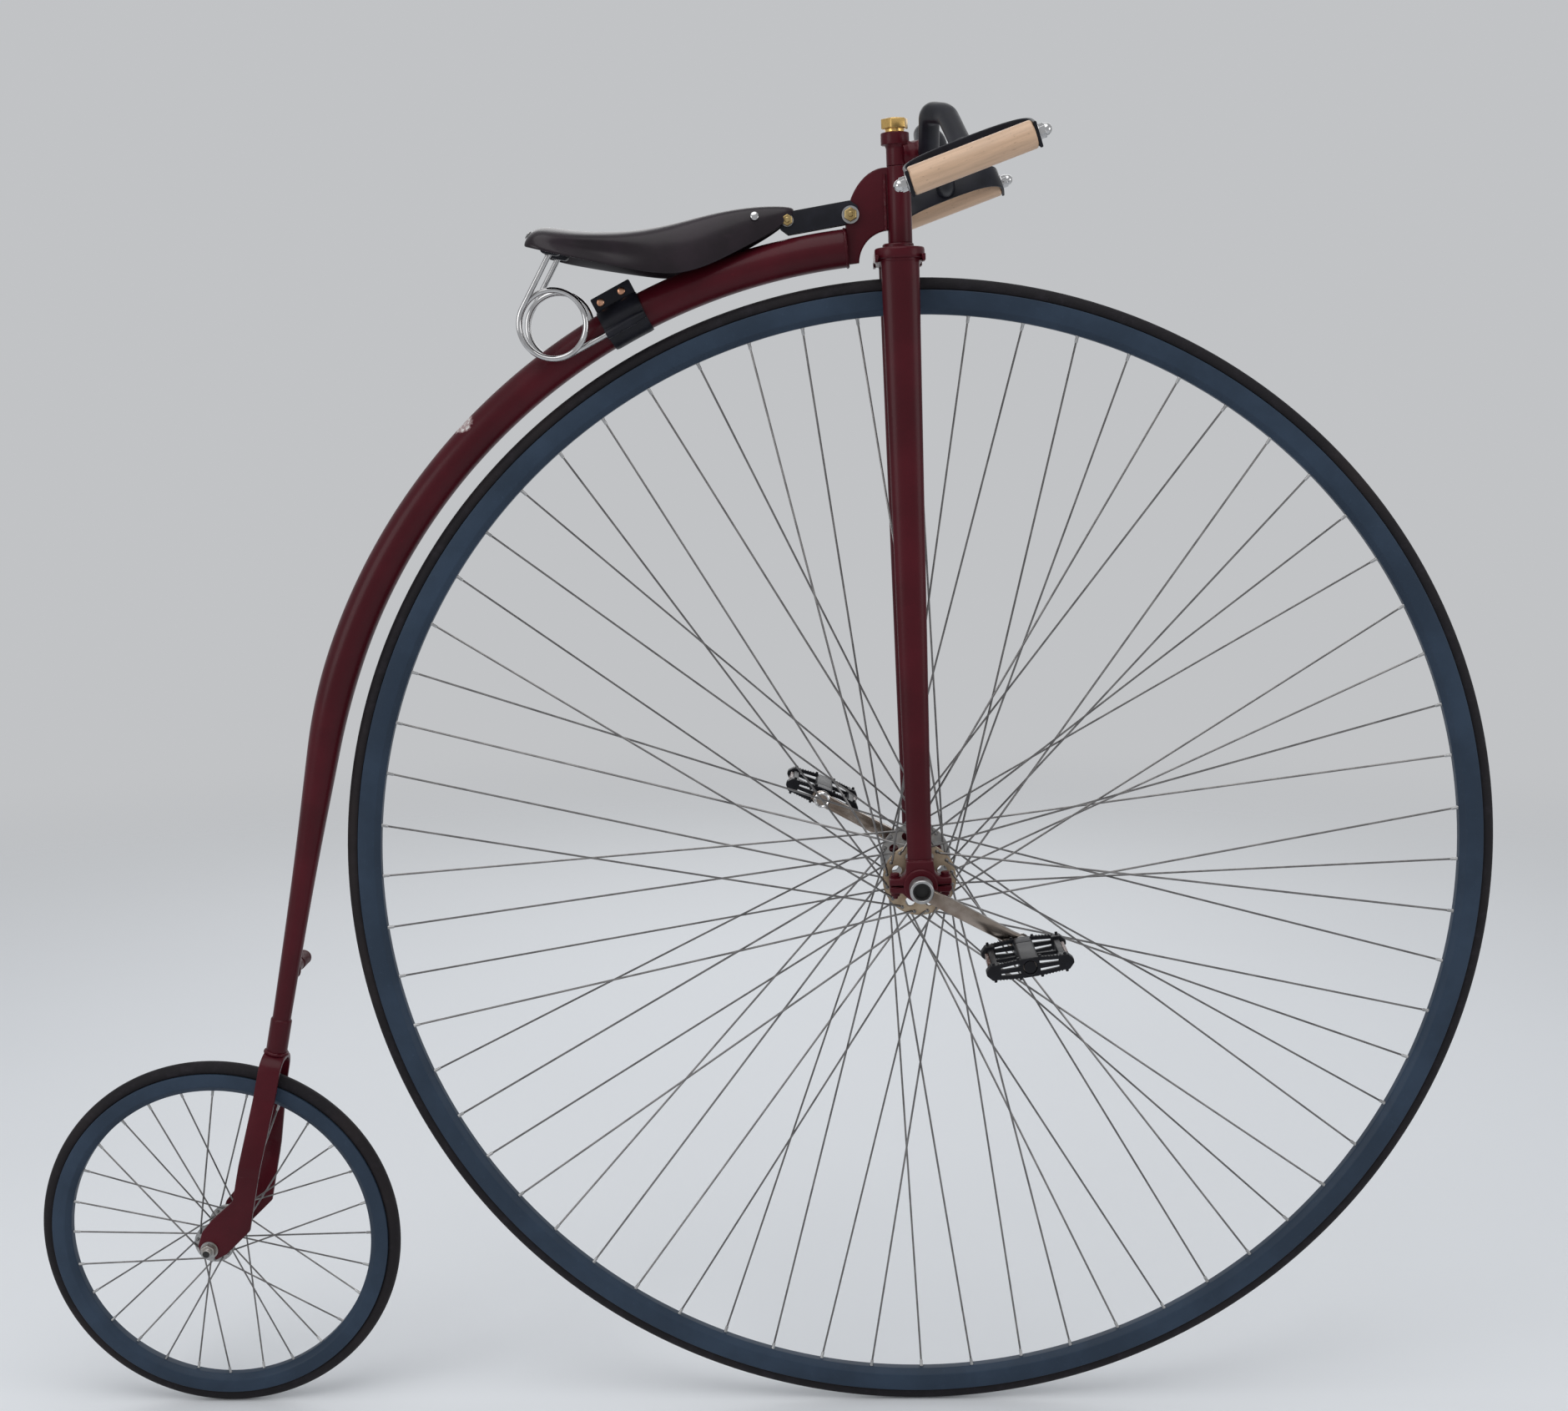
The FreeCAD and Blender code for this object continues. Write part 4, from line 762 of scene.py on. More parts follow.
# ---------------------------------------------------------------- wheels
CRANK_ANGLE = math.degrees(math.atan2(PEDAL_CENTRES["right"].z, PEDAL_CENTRES["right"].x))
GRIP_RISE = 19.7  # angle of the grips, up towards their front
CHIP_ANGLE = 134.6  # of the chip in the paint, round the front axle
SPOKE_INSET = 4.0  # hub hole circle inside the flange's edge
FLANGE_THICKNESS = 5.0
HOLE_RING = 27.5  # circle of the front flanges' lightening holes
HOLE_RADIUS = 5.6
HOLE_COUNT = 8
FIRST_HOLES = {"front": 0.5, "rear": -0.4}  # angle of each rim's first spoke hole
FULL_TURN = 256  # sides of a tyre or a rim
TREAD_TURNS = [math.radians(turn) for turn in range(-24, 205, 12)]


def tyre_form(radius, centre):
    """Solid tyre: a round tread that overhangs the narrower foot in the rim's well."""
    half = TYRE_HALF
    seat = radius - TYRE_HIGH
    middle = radius - half
    tread = [(middle + half * math.sin(turn), half * math.cos(turn)) for turn in TREAD_TURNS]
    foot = half - 2.4
    profile = [(seat - 3.0, -foot), (seat - 3.0, foot), (seat + 0.6, foot)] + tread + [(seat + 0.6, -foot)]
    return Form().turn(profile, centre, sides=FULL_TURN)


def rim_form(radius, centre, depth):
    """Deep box rim with a rolled lip, bevelled inner corners and a narrow well for the tyre."""
    lip = radius - TYRE_HIGH
    inner = lip - depth
    half = RIM_HALF
    well = TYRE_HALF - 2.2
    corners = doubled([((lip, half), 1.0), ((inner + 6.5, half), 2.5), ((inner, half - 6.0), 2.2)], over=-1)
    corners += doubled([((lip, -well), 0.6), ((lip - 4.0, -well + 0.5), 0)], over=-1)
    return Form().turn(rounded(corners, steps=3), centre, sides=FULL_TURN)


def wheel_lines(count, lacing, start, inner, flange, spacing, centre):
    """For each spoke: its side, whether it leads, its hub hole and its rim hole."""
    for k in range(count):
        side = -1 if k % 2 else 1
        lead = -1 if k % 4 < 2 else 1
        angle = start + 360.0 * k / count
        hole = centre + polar(flange - SPOKE_INSET, angle + lead * math.degrees(lacing), side * spacing)
        yield side, lead, hole, centre + polar(inner, angle, side * 2.0)


def spoke_forms(lines, wire):
    """Spokes with a bent and headed end in the flange, and their nipples in the rim."""
    wires, nipples = Form(), Form()
    half = FLANGE_THICKNESS / 2
    for side, lead, hole, end in lines:
        out = Vector((0, side * lead, 0))
        skim = hole + out * (half + wire / 2)
        way = (end - skim).normalized()
        corner = [(hole - out * (half + 0.4), 0), (skim, wire * 0.9), (end, 0)]
        wires.tube(rounded(corner, closed=False, steps=3), wire / 2, sides=8, side=(1, 0, 0.3))
        wires.dome(wire * 0.95, hole - out * half, out * -1, wire * 0.55, sides=12)
        stem = wire * 0.78
        profile = [(0, 0), (stem * 1.25, 0), (stem * 1.25, 1.4), (stem, 2.0), (stem, 7.0), (wire * 0.5, 8.4)]
        nipples.turn(profile, end + way * 0.4, way * -1, 10)
    return wires, nipples


def plain_wheel(which, radius, centre, flange, face):
    """Tyre, rim, spokes and nipples of the wheel that which names."""
    def size(part):
        return getattr(chosen("wheels"), which + part)

    body = which + "_wheel"
    tyre_form(radius, centre).piece(which + "_tyre_rubber", "tyre", body, [which + "_tyre"])
    depth = mm(size("_rim"))
    rim_form(radius, centre, depth).piece(which + "_rim_shell", "paint_blue", body, [which + "_rim"])
    laced = (size("_spokes"), size("_lacing"), FIRST_HOLES[which], radius - TYRE_HIGH - depth)
    lines = wheel_lines(*laced, flange, face - FLANGE_THICKNESS / 2, centre)
    wires, nipples = spoke_forms(lines, mm(size("_wire")))
    wires.piece(which + "_spoke_wires", "spoke_steel", body, [which + "_spokes"])
    nipples.piece(which + "_nipples", "spoke_steel", body, finish="nipple")


def hub_flange(radius, side):
    """A front flange, made of as many equal sectors as it has lightening holes, one hole to a sector."""
    form = Form()
    low, high = sorted((side * FLANGE_FACE, side * (FLANGE_FACE - FLANGE_THICKNESS)))
    root, edge = 14.0, radius - 0.8
    turn = 360.0 / HOLE_COUNT
    steps = 12

    def at(outline, level):
        return [SIDE_ON @ Vector((p.x, p.y, level)) for p in outline]

    for k in range(HOLE_COUNT):
        middle = turn * (k + 0.5)
        outer = circle(edge, steps=steps, start=middle - turn / 2, turn=turn)
        inner = circle(root, steps=steps, start=middle + turn / 2, turn=-turn)
        down = [outer[-1] + (inner[0] - outer[-1]) * share for share in (0.25, 0.5, 0.75)]
        up = [inner[-1] + (outer[0] - inner[-1]) * share for share in (0.25, 0.5, 0.75)]
        border = outer + down + inner + up
        spot = circle(HOLE_RING, steps=1, start=middle)[0]
        bore = [spot + (point - spot).normalized() * HOLE_RADIUS for point in border]
        form.skin([at(border, low), at(bore, low), at(bore, high), at(border, high)])
    rim = [(edge, low), (radius, low + 0.8), (radius, high - 0.8), (edge, high)]
    for profile in (rim, [(root, low), (root, high)]):
        form.skin([at(circle(size, steps=steps * HOLE_COUNT), level) for size, level in profile])
    return form


class FARTHING_OT_front_wheel(bpy.types.Operator):
    """Builds the tall front wheel"""

    bl_idname = "farthing.front_wheel"
    bl_label = "Front wheel"

    def execute(self, context):
        flange = mm(chosen("wheels").front_flange)
        plain_wheel("front", FRONT_RADIUS, Vector((0, 0, 0)), flange, FLANGE_FACE)
        for name, side in SIDES.items():
            finish = "golden" if side < 0 else None
            hub_flange(flange, side).piece("front_flange_" + name, "zinc_steel", "front_wheel", finish=finish)
        face = FLANGE_FACE
        half = [(19.0, 20.0), (21.0, face - 9), (19.5, face - 5), (17.0, face), (10.0, face)]
        barrel = [(radius, -step) for radius, step in reversed(half)] + half
        Form().turn(barrel, sides=64).piece("front_hub_barrel", "zinc_steel", "front_wheel", ["front_hub"])
        dress("front_spindle", "zinc_steel")
        return {"FINISHED"}


class FARTHING_OT_rear_wheel(bpy.types.Operator):
    """Builds the small rear wheel"""

    bl_idname = "farthing.rear_wheel"
    bl_label = "Rear wheel"

    def execute(self, context):
        flange = mm(chosen("wheels").rear_flange)
        face = reach("rear_hub")[1].y
        plain_wheel("rear", REAR_RADIUS, REAR_AXLE, flange, face)
        half = [(radius, step - face) for radius, step in (
            (5.1, 0.0), (9.5, 0.0), (10.5, 1.5), (flange - 0.6, 1.2), (flange, 2.0), (flange, 4.0),
            (flange - 0.8, 4.8), (13.5, 5.0), (11.0, 9.0),
        )]
        profile = half + [(9.5, 0.0)] + [(radius, -step) for radius, step in reversed(half)]
        form = Form().turn(profile, REAR_AXLE, sides=64)
        form.piece("rear_hub_shell", "zinc_steel", "rear_wheel", ["rear_hub"])
        return {"FINISHED"}


# ---------------------------------------------------------------- cranks and pedals
def at_angle(centre, degrees):
    """Lays an outline in the wheel's plane, its first direction at that angle."""
    return Matrix.Translation(centre) @ Matrix.Rotation(math.radians(-degrees), 4, "Y") @ SIDE_ON


ARM_INNER = CRANK_OUTER - 13.0
ARM_OUTER = CRANK_OUTER - 1.0
RECESS = 9.4  # radius of the recess in a crank's boss


class FARTHING_OT_cranks(bpy.types.Operator):
    """Builds both cranks, each a boss, a tapered arm and an eye"""

    bl_idname = "farthing.cranks"
    bl_label = "Cranks"

    def execute(self, context):
        for name, side in SIDES.items():
            self.arm(name, side)
            self.boss(name, side)
            self.eye(name, side)
        dress("pedal_spindles", "polished_steel")
        return {"FINISHED"}

    def arm(self, name, side):
        lay = at_angle(Vector((0, 0, 0)), CRANK_ANGLE + (180 if side > 0 else 0))
        arm = rounded(doubled([
            ((10.8, -7.6), 0), ((30.0, -8.2), 40.0), ((112.0, -7.4), 20.0), ((137.0, -9.5), 9.0),
        ], over=-1))
        form = Form().plate([arm], side * ARM_INNER, side * ARM_OUTER, 2.4, lay)
        form.piece("crank_arm_" + name, "polished_steel", "front_wheel", ["crank_" + name])

    def boss(self, name, side):
        """Boss round the front spindle's end, and the recess in its face, whose inside is painted near-black
        as shade.
        """
        radius, inner, outer = mm(chosen("frame").crank) / 2, reach("crank_left")[0].y, CRANK_OUTER
        profile = rounded([
            ((RECESS, outer - 9.0), 0), ((RECESS, outer - 1.2), 0.8), ((RECESS + 0.9, outer), 0.5),
            ((radius - 0.9, outer), 0.8), ((radius, outer - 1.0), 0.6), ((radius, inner + 1.0), 0.8),
            ((radius - 1.0, inner), 0.4), ((10.1, inner), 0), ((10.1, outer - 9.0), 0),
        ], steps=3)
        form = Form().turn([(size, side * step) for size, step in profile], sides=64)
        form.piece("crank_boss_" + name, "polished_steel", "front_wheel", finish="nipple")
        # the recess's walls and floor are painted near-black: painted shade
        wall = RECESS - 0.1
        deep = ((0, 8.6), (wall, 8.6), (wall, 2.4), (wall - 1.2, 2.2), (wall - 1.4, 8.0), (0, 8.0))
        form = Form().turn([(size, side * (outer - depth)) for size, depth in deep], sides=48)
        form.piece("crank_recess_" + name, "polished_steel", "front_wheel", finish="recess")

    def eye(self, name, side):
        """Washer and rims round the pedal spindle, where it goes through the arm."""
        out, back = Vector((0, side, 0)), Vector((0, -side, 0))
        near, far = PEDAL_CENTRES[name] + out * ARM_OUTER, PEDAL_CENTRES[name] + out * ARM_INNER
        form = Form().turn([(7.2, 0), (9.4, 0), (9.4, 0.9), (8.8, 1.3), (7.2, 1.3)], near, out, 40)
        form.piece("crank_eye_washer_" + name, "zinc_steel", "front_wheel")
        form = Form().turn([(6.6, -1.0), (6.6, 1.2), (8.2, 2.0), (9.6, 1.2), (9.6, -1.0)], far, back, 40)
        form.piece("crank_eye_rim_" + name, "polished_steel", "front_wheel", finish="chrome")
        # near-black disc in the eye's hole: painted shade
        form = Form().disc(6.7, far, back, 0.4)
        form.piece("crank_eye_painted_shade_" + name, "polished_steel", "front_wheel", finish="recess")


PEDAL_TILTS = {"right": 9.0, "left": -22.0}
PEDAL_MIDDLE = (PEDAL_SPAN[0] + PEDAL_SPAN[1]) / 2
PEDAL_WIDE = (PEDAL_SPAN[1] - PEDAL_SPAN[0]) / 2
PEDAL_TIP = 46.6  # ahead of the spindle, the cage's blunt point
PEDAL_HIGH = 8.2  # half the cage's height at its ends
PEDAL_MOUTH = 10.4  # and beside the spindle
RAIL_HALF = 2.5
RAIL_MIDDLE = PEDAL_WIDE - 2.6
BLOCK_WIDE = 13.0


def pedal_end(cage, lamps, end):
    """End block with a blunt point, cut away for its reflector, and the rails that lead to it."""
    high = PEDAL_HIGH
    block = rounded(doubled([
        ((end * 31.0, -high), 1.0), ((end * 41.0, -high), 2.0), ((end * PEDAL_TIP, -2.0), 2.0),
    ], over=-1), steps=3)
    for low, top in ((-PEDAL_WIDE, BLOCK_WIDE - PEDAL_WIDE), (PEDAL_WIDE - BLOCK_WIDE, PEDAL_WIDE)):
        cage.plate([block], low, top, 0.9)
    seat = PEDAL_WIDE - BLOCK_WIDE + 1.0
    cage.plate([oblong((end * 33.0, -5.6), (end * 39.5, 5.6), 1.0, 2)], -seat, seat, 0.6)
    lay = Matrix.Translation((end * 41.4, 0, 0)) @ Matrix.Rotation(math.radians(90), 4, "Y")
    lamps.plate([oblong((-4.6, -22.0), (4.6, 22.0), 1.5)], -1.9, 1.9, 0.8, lay)
    rib = rounded(doubled([((end * 8.0, 2.6), 0.8), ((end * 34.0, 2.0), 0.8)], over=-1), steps=2)
    for y in (-RAIL_MIDDLE, RAIL_MIDDLE, 0.0):
        cage.plate([rib], y - RAIL_HALF, y + RAIL_HALF, 0.6)
    for y in (-RAIL_MIDDLE, RAIL_MIDDLE):
        for up in (1, -1):
            pedal_rail(cage, end, up, y)


def pedal_rail(cage, end, up, y):
    """Upper or lower rail, which leans towards the end block, with its teeth and studs."""
    high, mouth = PEDAL_HIGH, PEDAL_MOUTH
    corners = ((9.0, mouth), (34.0, high), (34.0, high - 4.2), (9.0, 6.0))
    outline = rounded([((end * x, up * z), 0.8) for x, z in corners], steps=2)
    cage.plate([outline], y - RAIL_HALF, y + RAIL_HALF, 0.6)
    stud = [(0, 0), (1.9, 0), (1.5, 3.0), (0, 3.3)]
    for x, level in ((11.5, 9.2), (38.0, high - 0.6)):
        cage.turn(stud, (end * x, y, up * level), (0, 0, up), 12)
    for k in range(6):
        x = 16.0 + 3.4 * k
        rise = mouth - (x - 9.0) * (mouth - high) / 25.0
        tooth = ((x - 1.1, rise - 0.6), (x + 1.1, rise - 0.6), (x, rise + 0.9))
        cage.plate([[(end * a, up * b) for a, b in tooth]], y - 2.4, y + 2.4, 0.15)


def pedal_forms():
    """Cage, barrel and reflectors of a left pedal, drawn level about its own middle."""
    cage, barrel, lamps = Form(), Form(), Form()
    for end in (1, -1):
        pedal_end(cage, lamps, end)
    shell = [oblong((-10.5, -10.5), (10.5, 10.5), 3.5, 4), circle(7.3)]
    barrel.plate(shell, -PEDAL_WIDE, 24.0 - PEDAL_WIDE, 1.4)
    cage.plate(shell, 23.5 - PEDAL_WIDE, PEDAL_WIDE, 1.4)
    plug = [(0, 0), (6.6, 0), (6.6, 1.0), (5.4, 1.6), (0, 1.6)]
    cage.turn(plug, (0, PEDAL_WIDE - 2.2, 0), (0, 1, 0), 32)
    return cage, barrel, lamps


class FARTHING_OT_pedals(bpy.types.Operator):
    """Builds both moulded pedals with their studs and reflectors"""

    bl_idname = "farthing.pedals"
    bl_label = "Pedals"

    def execute(self, context):
        for name, side in SIDES.items():
            body = "pedal_" + name
            middle = PEDAL_CENTRES[name] + Vector((0, side * PEDAL_MIDDLE, 0))
            tilt = Matrix.Rotation(math.radians(-PEDAL_TILTS[name]), 4, "Y")
            place = Matrix.Translation(middle) @ tilt @ Matrix.Scale(side, 4, (0, 1, 0))
            cage, barrel, lamps = (form.changed(place) for form in pedal_forms())
            cage.piece("pedal_cage_" + name, "black_plastic", body, ["pedal_" + name])
            barrel.piece("pedal_barrel_" + name, "black_plastic", body, finish="grey_plastic")
            lamps.piece("pedal_lenses_" + name, "amber_plastic", body, ["pedal_reflectors_" + name])
        return {"FINISHED"}


# ---------------------------------------------------------------- fork and bearings
HOUSING_WIDTH = 30.0
HOUSING_MIDDLE = HOUSING_OUTER - HOUSING_WIDTH / 2
HOUSING_RADIUS = 19.0
SPINDLE_BITE = 10.1  # radius cut out of both halves of the housing
BLADE_FOOT = 26.0  # above the axle
BLADE_SLIM = 12.0 / 20.75  # a blade's thickness for each millimetre of its width
BLADE_STEPS = 24
BLADE_HEAD = 46.0  # blade's middle from the centre plane, at the crown
CROWN_LOW = FRONT_RADIUS + 15.0
CROWN_HIGH = CROWN_LOW + 14.0
CROWN_HALF = 27.0  # fore and aft
NECK_LOW = CROWN_HIGH + 7.3
NECK_HIGH = NECK_LOW + 80.0
HEAD_HIGH = NECK_HIGH + 22.3
TUBE_AHEAD = 2.6  # neck and head tubes, forward of the steering axis
BAR_CENTRE = LEAN @ Vector((35.0, 0, NECK_HIGH + 13.0))


def leaned(x, height, y=0.0):
    """A point of the steering assembly, whose own Z is the steering axis."""
    return LEAN @ Vector((x, y, height))


class FARTHING_OT_fork(bpy.types.Operator):
    """Builds the two tapered blades and the crown that joins them"""

    bl_idname = "farthing.fork"
    bl_label = "Fork"

    def execute(self, context):
        sizes = chosen("frame")
        top_half, foot_half = mm(sizes.blade_top) / 2, mm(sizes.blade_foot) / 2
        for name, side in SIDES.items():
            foot = Vector((0, side * HOUSING_MIDDLE, BLADE_FOOT))
            head = Vector((0, side * BLADE_HEAD, CROWN_HIGH - 4.0))
            line = [foot + (head - foot) * share for share in spread(BLADE_STEPS)]

            def section(i):
                half = foot_half + (top_half - foot_half) * i / (BLADE_STEPS - 1)
                return [(p.x * BLADE_SLIM, p.y) for p in circle(half, steps=48)]

            form = Form().sweep(line, section, (0, 1, 0)).changed(LEAN)
            form.piece("fork_blade_tube_" + name, "paint_maroon", "steering", ["fork_blade_" + name])
            root = leaned(0, BLADE_FOOT + 1.0, side * HOUSING_MIDDLE)
            rows = []
            for p in circle(foot_half + 0.6, steps=48, squash=0.66):
                point = root + LEAN @ Vector((p.x, p.y, 0))
                out = (point - root).normalized()
                rows.append([point + Vector(UP) * c.y + out * c.x for c in circle(1.5, steps=10)])
            bead = Form()
            bead.skin(rows, round_rows=True)
            bead.lumpy(0.5, 2.4).piece("fork_blade_weld_" + name, "paint_maroon", "steering")
        self.crown()
        return {"FINISHED"}

    def crown(self):
        """Cap with round ends, turned down at its front and back, and the collar under the neck."""
        half_span = BLADE_HEAD + 15.0
        cap = oblong((-CROWN_HALF, -half_span), (CROWN_HALF, half_span), 24, 12)
        skirt = oblong((-24.6, 2 - half_span), (24.6, half_span - 2), 22, 12)
        form = Form().plate([cap], CROWN_LOW + 2.0, CROWN_HIGH, 2.6, FLAT)
        form.plate([skirt], CROWN_LOW - 0.6, CROWN_LOW + 3.0, 0.8, FLAT)
        lip = ((CROWN_HALF, 6.0), (CROWN_HALF, -1.0), (24.0, -1.4), (22.6, 6.0))
        for end in (1, -1):
            outline = rounded([((end * x, CROWN_LOW + rise), 0.8) for x, rise in lip], steps=2)
            for side in (1, -1):
                form.plate([outline], side * 30.0, side * 58.0, 1.4)
        collar = ((0, -1), (17.6, -1), (17.2, 1.0), (17.2, 5.8), (16.2, 7.0), (0, 7.0))
        form.turn([(size, CROWN_HIGH + rise) for size, rise in collar], way=UP, sides=64)
        form.changed(LEAN).piece("fork_crown_cap", "paint_maroon", "steering", ["fork_crown"])


class FARTHING_OT_bearings(bpy.types.Operator):
    """Builds the split bearings at the foot of the fork"""

    bl_idname = "farthing.bearings"
    bl_label = "Front bearings"

    def execute(self, context):
        ear, thick, split = 34.6, 8.2, 0.7
        bore = HOUSING_RADIUS - 9.0
        upper = rounded(doubled([
            ((bore, split), 0), ((ear, split), 1.2), ((ear, thick), 2.2), ((24.0, thick), 2.0),
            ((16.5, 10.0), 9.0), ((14.8, BLADE_FOOT + 1.5), 1.5),
        ], across=-1))
        lower = rounded(doubled([
            ((-bore, -split), 0), ((-ear, -split), 1.2), ((-ear, -5.0), 1.0), ((3.0 - ear, -thick), 1.5),
            ((-20.5, -thick), 3.0), ((-15.5, -13.5), 5.0), ((-9.0, -18.2), 6.0),
        ], across=-1))
        upper += circle(SPINDLE_BITE, (0.0, split), 24, start=180, turn=-180)
        lower += circle(SPINDLE_BITE, (0.0, -split), 24, start=0, turn=-180)
        uppers, lowers, rings, bolts = Form(), Form(), Form(), Form()
        low, high = HOUSING_MIDDLE - 12.0, HOUSING_MIDDLE + 12.0
        for side in (1, -1):
            uppers.plate([upper], side * low, side * high, 1.4)
            lowers.plate([lower], side * low, side * high, 1.4)
            for face in (-1, 1):
                # the round ends of the housing stand out past the ears
                outer = HOUSING_MIDDLE + face * HOUSING_WIDTH / 2
                start, end = side * (HOUSING_MIDDLE + face * 11.0), side * outer
                edge = side * (outer - face * 1.2)
                rings.turn([
                    (10.2, start), (HOUSING_RADIUS, start), (HOUSING_RADIUS, edge),
                    (HOUSING_RADIUS - 1.2, end), (11.6, end), (11.0, edge), (10.2, edge),
                ], sides=64)
            for x in (28.0, -28.0):
                y = side * HOUSING_MIDDLE
                bolts.nut(5.2, (x, y, thick), UP, 3.8)
                bolts.nut(5.2, (x, y, -thick), (0, 0, -1), 4.0)
                bolts.shaft(2.6, (x, y, -thick - 8.0), (x, y, -thick - 3.0), 0.5, 16)
        uppers.changed(LEAN).piece("bearing_tops", "paint_maroon", "steering", ["bearing_uppers"])
        lowers.changed(LEAN).piece("bearing_feet", "paint_maroon", "steering", ["bearing_caps"])
        rings.changed(LEAN).piece("bearing_ends", "paint_maroon", "steering")
        bolts.changed(LEAN).piece("bearing_bolts", "paint_maroon", "steering")
        return {"FINISHED"}


# ---------------------------------------------------------------- head, handlebar and grips
GRIP_MIDDLE = Vector((44.4, 222.5, 759.0))
GRIP_WAY = polar(1.0, GRIP_RISE)
GRIP_HALF = 64.4
BOW_REACH = 46.0  # inboard of the grip's middle, the strap's outer face
BOW_THICK = 3.2
BOW_WIDE = 26.0
BOW_LEG = 9.5  # outboard of the grip's middle, the strap's two ends
BOW_STEPS = 40
BOW_SQUARE = 0.72  # 1 is an ellipse and less is squarer
NUT_REACH = 6.1  # radius of a grip's domed nut
BOW_INBOARD = Vector((0, -BOW_REACH, 14.0)).normalized()
BOW_INBOARD = (BOW_INBOARD - GRIP_WAY * BOW_INBOARD.dot(GRIP_WAY)).normalized()
BOW_OVER = BOW_INBOARD.cross(GRIP_WAY)


def mirrored(form):
    """The same form on the rider's right."""
    return form.changed(Matrix.Scale(-1, 4, (0, 1, 0)))


class FARTHING_OT_head(bpy.types.Operator):
    """Builds the turning head with its collar, brass plug and handlebar lug"""

    bl_idname = "farthing.head"
    bl_label = "Head"

    def execute(self, context):
        form = Form()
        form.lathe([
            ((0, HEAD_HIGH - 1.0), 0), ((15.4, HEAD_HIGH), 0.8), ((15.4, HEAD_HIGH + 12.6), 1.0),
            ((0, HEAD_HIGH + 12.8), 0),
        ], (0, 0, 0), UP, 64)
        form.lathe([
            ((0, NECK_HIGH + 0.4), 0), ((12.6, NECK_HIGH + 0.4), 0.6), ((12.6, HEAD_HIGH - 2.4), 6.0),
            ((15.0, HEAD_HIGH + 0.4), 0.4), ((0, HEAD_HIGH + 0.6), 0),
        ], (TUBE_AHEAD, 0, 0), UP, 64, 4)
        form.changed(LEAN).piece("head_tube", "paint_maroon", "steering", ["head_stem"])
        root = leaned(9.0, NECK_HIGH + 12.0)
        shares = spread(14)
        line = [root + (BAR_CENTRE - root) * share for share in shares]
        girth = [(0.0, 16.0), (0.3, 14.0), (0.55, 13.0), (0.8, 15.0), (1.0, 14.2)]
        form = Form().tube(line, lambda i: along_points(girth, shares[i]), 32).lumpy(2.8, 6.5)
        form.piece("handlebar_lug", "paint_maroon", "steering")
        form = Form()
        top = Vector((0, 0, HEAD_HIGH + 12.4))
        flange = [(0, 0), (11.5, 0), (11.5, 0.6), (10.2, 1.2), (10.2, 4.6), (0, 4.6)]
        form.turn(flange, top, UP, 48)
        form.hexagon(15.0, top + Vector((0, 0, 4.0)), UP, 10.6, 1.0)
        form.turn([(0, 14.2), (11.6, 14.2), (10.2, 15.2), (0, 15.2)], top, UP, 40)
        form.changed(LEAN).piece("head_plug_brass", "brass", "steering", ["head_plug"])
        return {"FINISHED"}


class FARTHING_OT_handlebar(bpy.types.Operator):
    """Builds the handlebar, bent from one tube"""

    bl_idname = "farthing.handlebar"
    bl_label = "Handlebar"

    def execute(self, context):
        radius = mm(chosen("frame").bar) / 2
        seat = GRIP_MIDDLE + BOW_INBOARD * (BOW_REACH - 1.0)
        half = [
            (BAR_CENTRE + Vector((0, 28, 0)), 24.0),
            (BAR_CENTRE + Vector((-2.0, 76, 31.2)), 20.0),
            (BAR_CENTRE + Vector((14.5, 104, 25.5)), 40.0),
            (seat + BOW_INBOARD * 16.0, 24.0),
            (seat, 0.0),
        ]
        whole = [(Vector((p.x, -p.y, p.z)), bend) for p, bend in reversed(half)] + half
        line = rounded(whole, closed=False, steps=12)
        form = Form().tube(line, radius, 40, side=UP)
        form.piece("handlebar_tube", "black_steel", "steering", ["handlebar"])
        return {"FINISHED"}


def bow_line():
    """Middle of the strap, from behind the grip round its inboard side to its front."""
    half = GRIP_HALF + BOW_THICK / 2
    deep = BOW_REACH - BOW_THICK / 2
    points = [(-half, -BOW_LEG), (-half, -2.0)]
    for k in range(1, BOW_STEPS):
        turn = math.pi * (1 - k / BOW_STEPS)
        along = math.copysign(abs(math.cos(turn)) ** BOW_SQUARE, math.cos(turn))
        points.append((half * along, deep * math.sin(turn) ** BOW_SQUARE))
    points += [(half, -2.0), (half, -BOW_LEG)]
    return [GRIP_MIDDLE + GRIP_WAY * a + BOW_INBOARD * b for a, b in points]


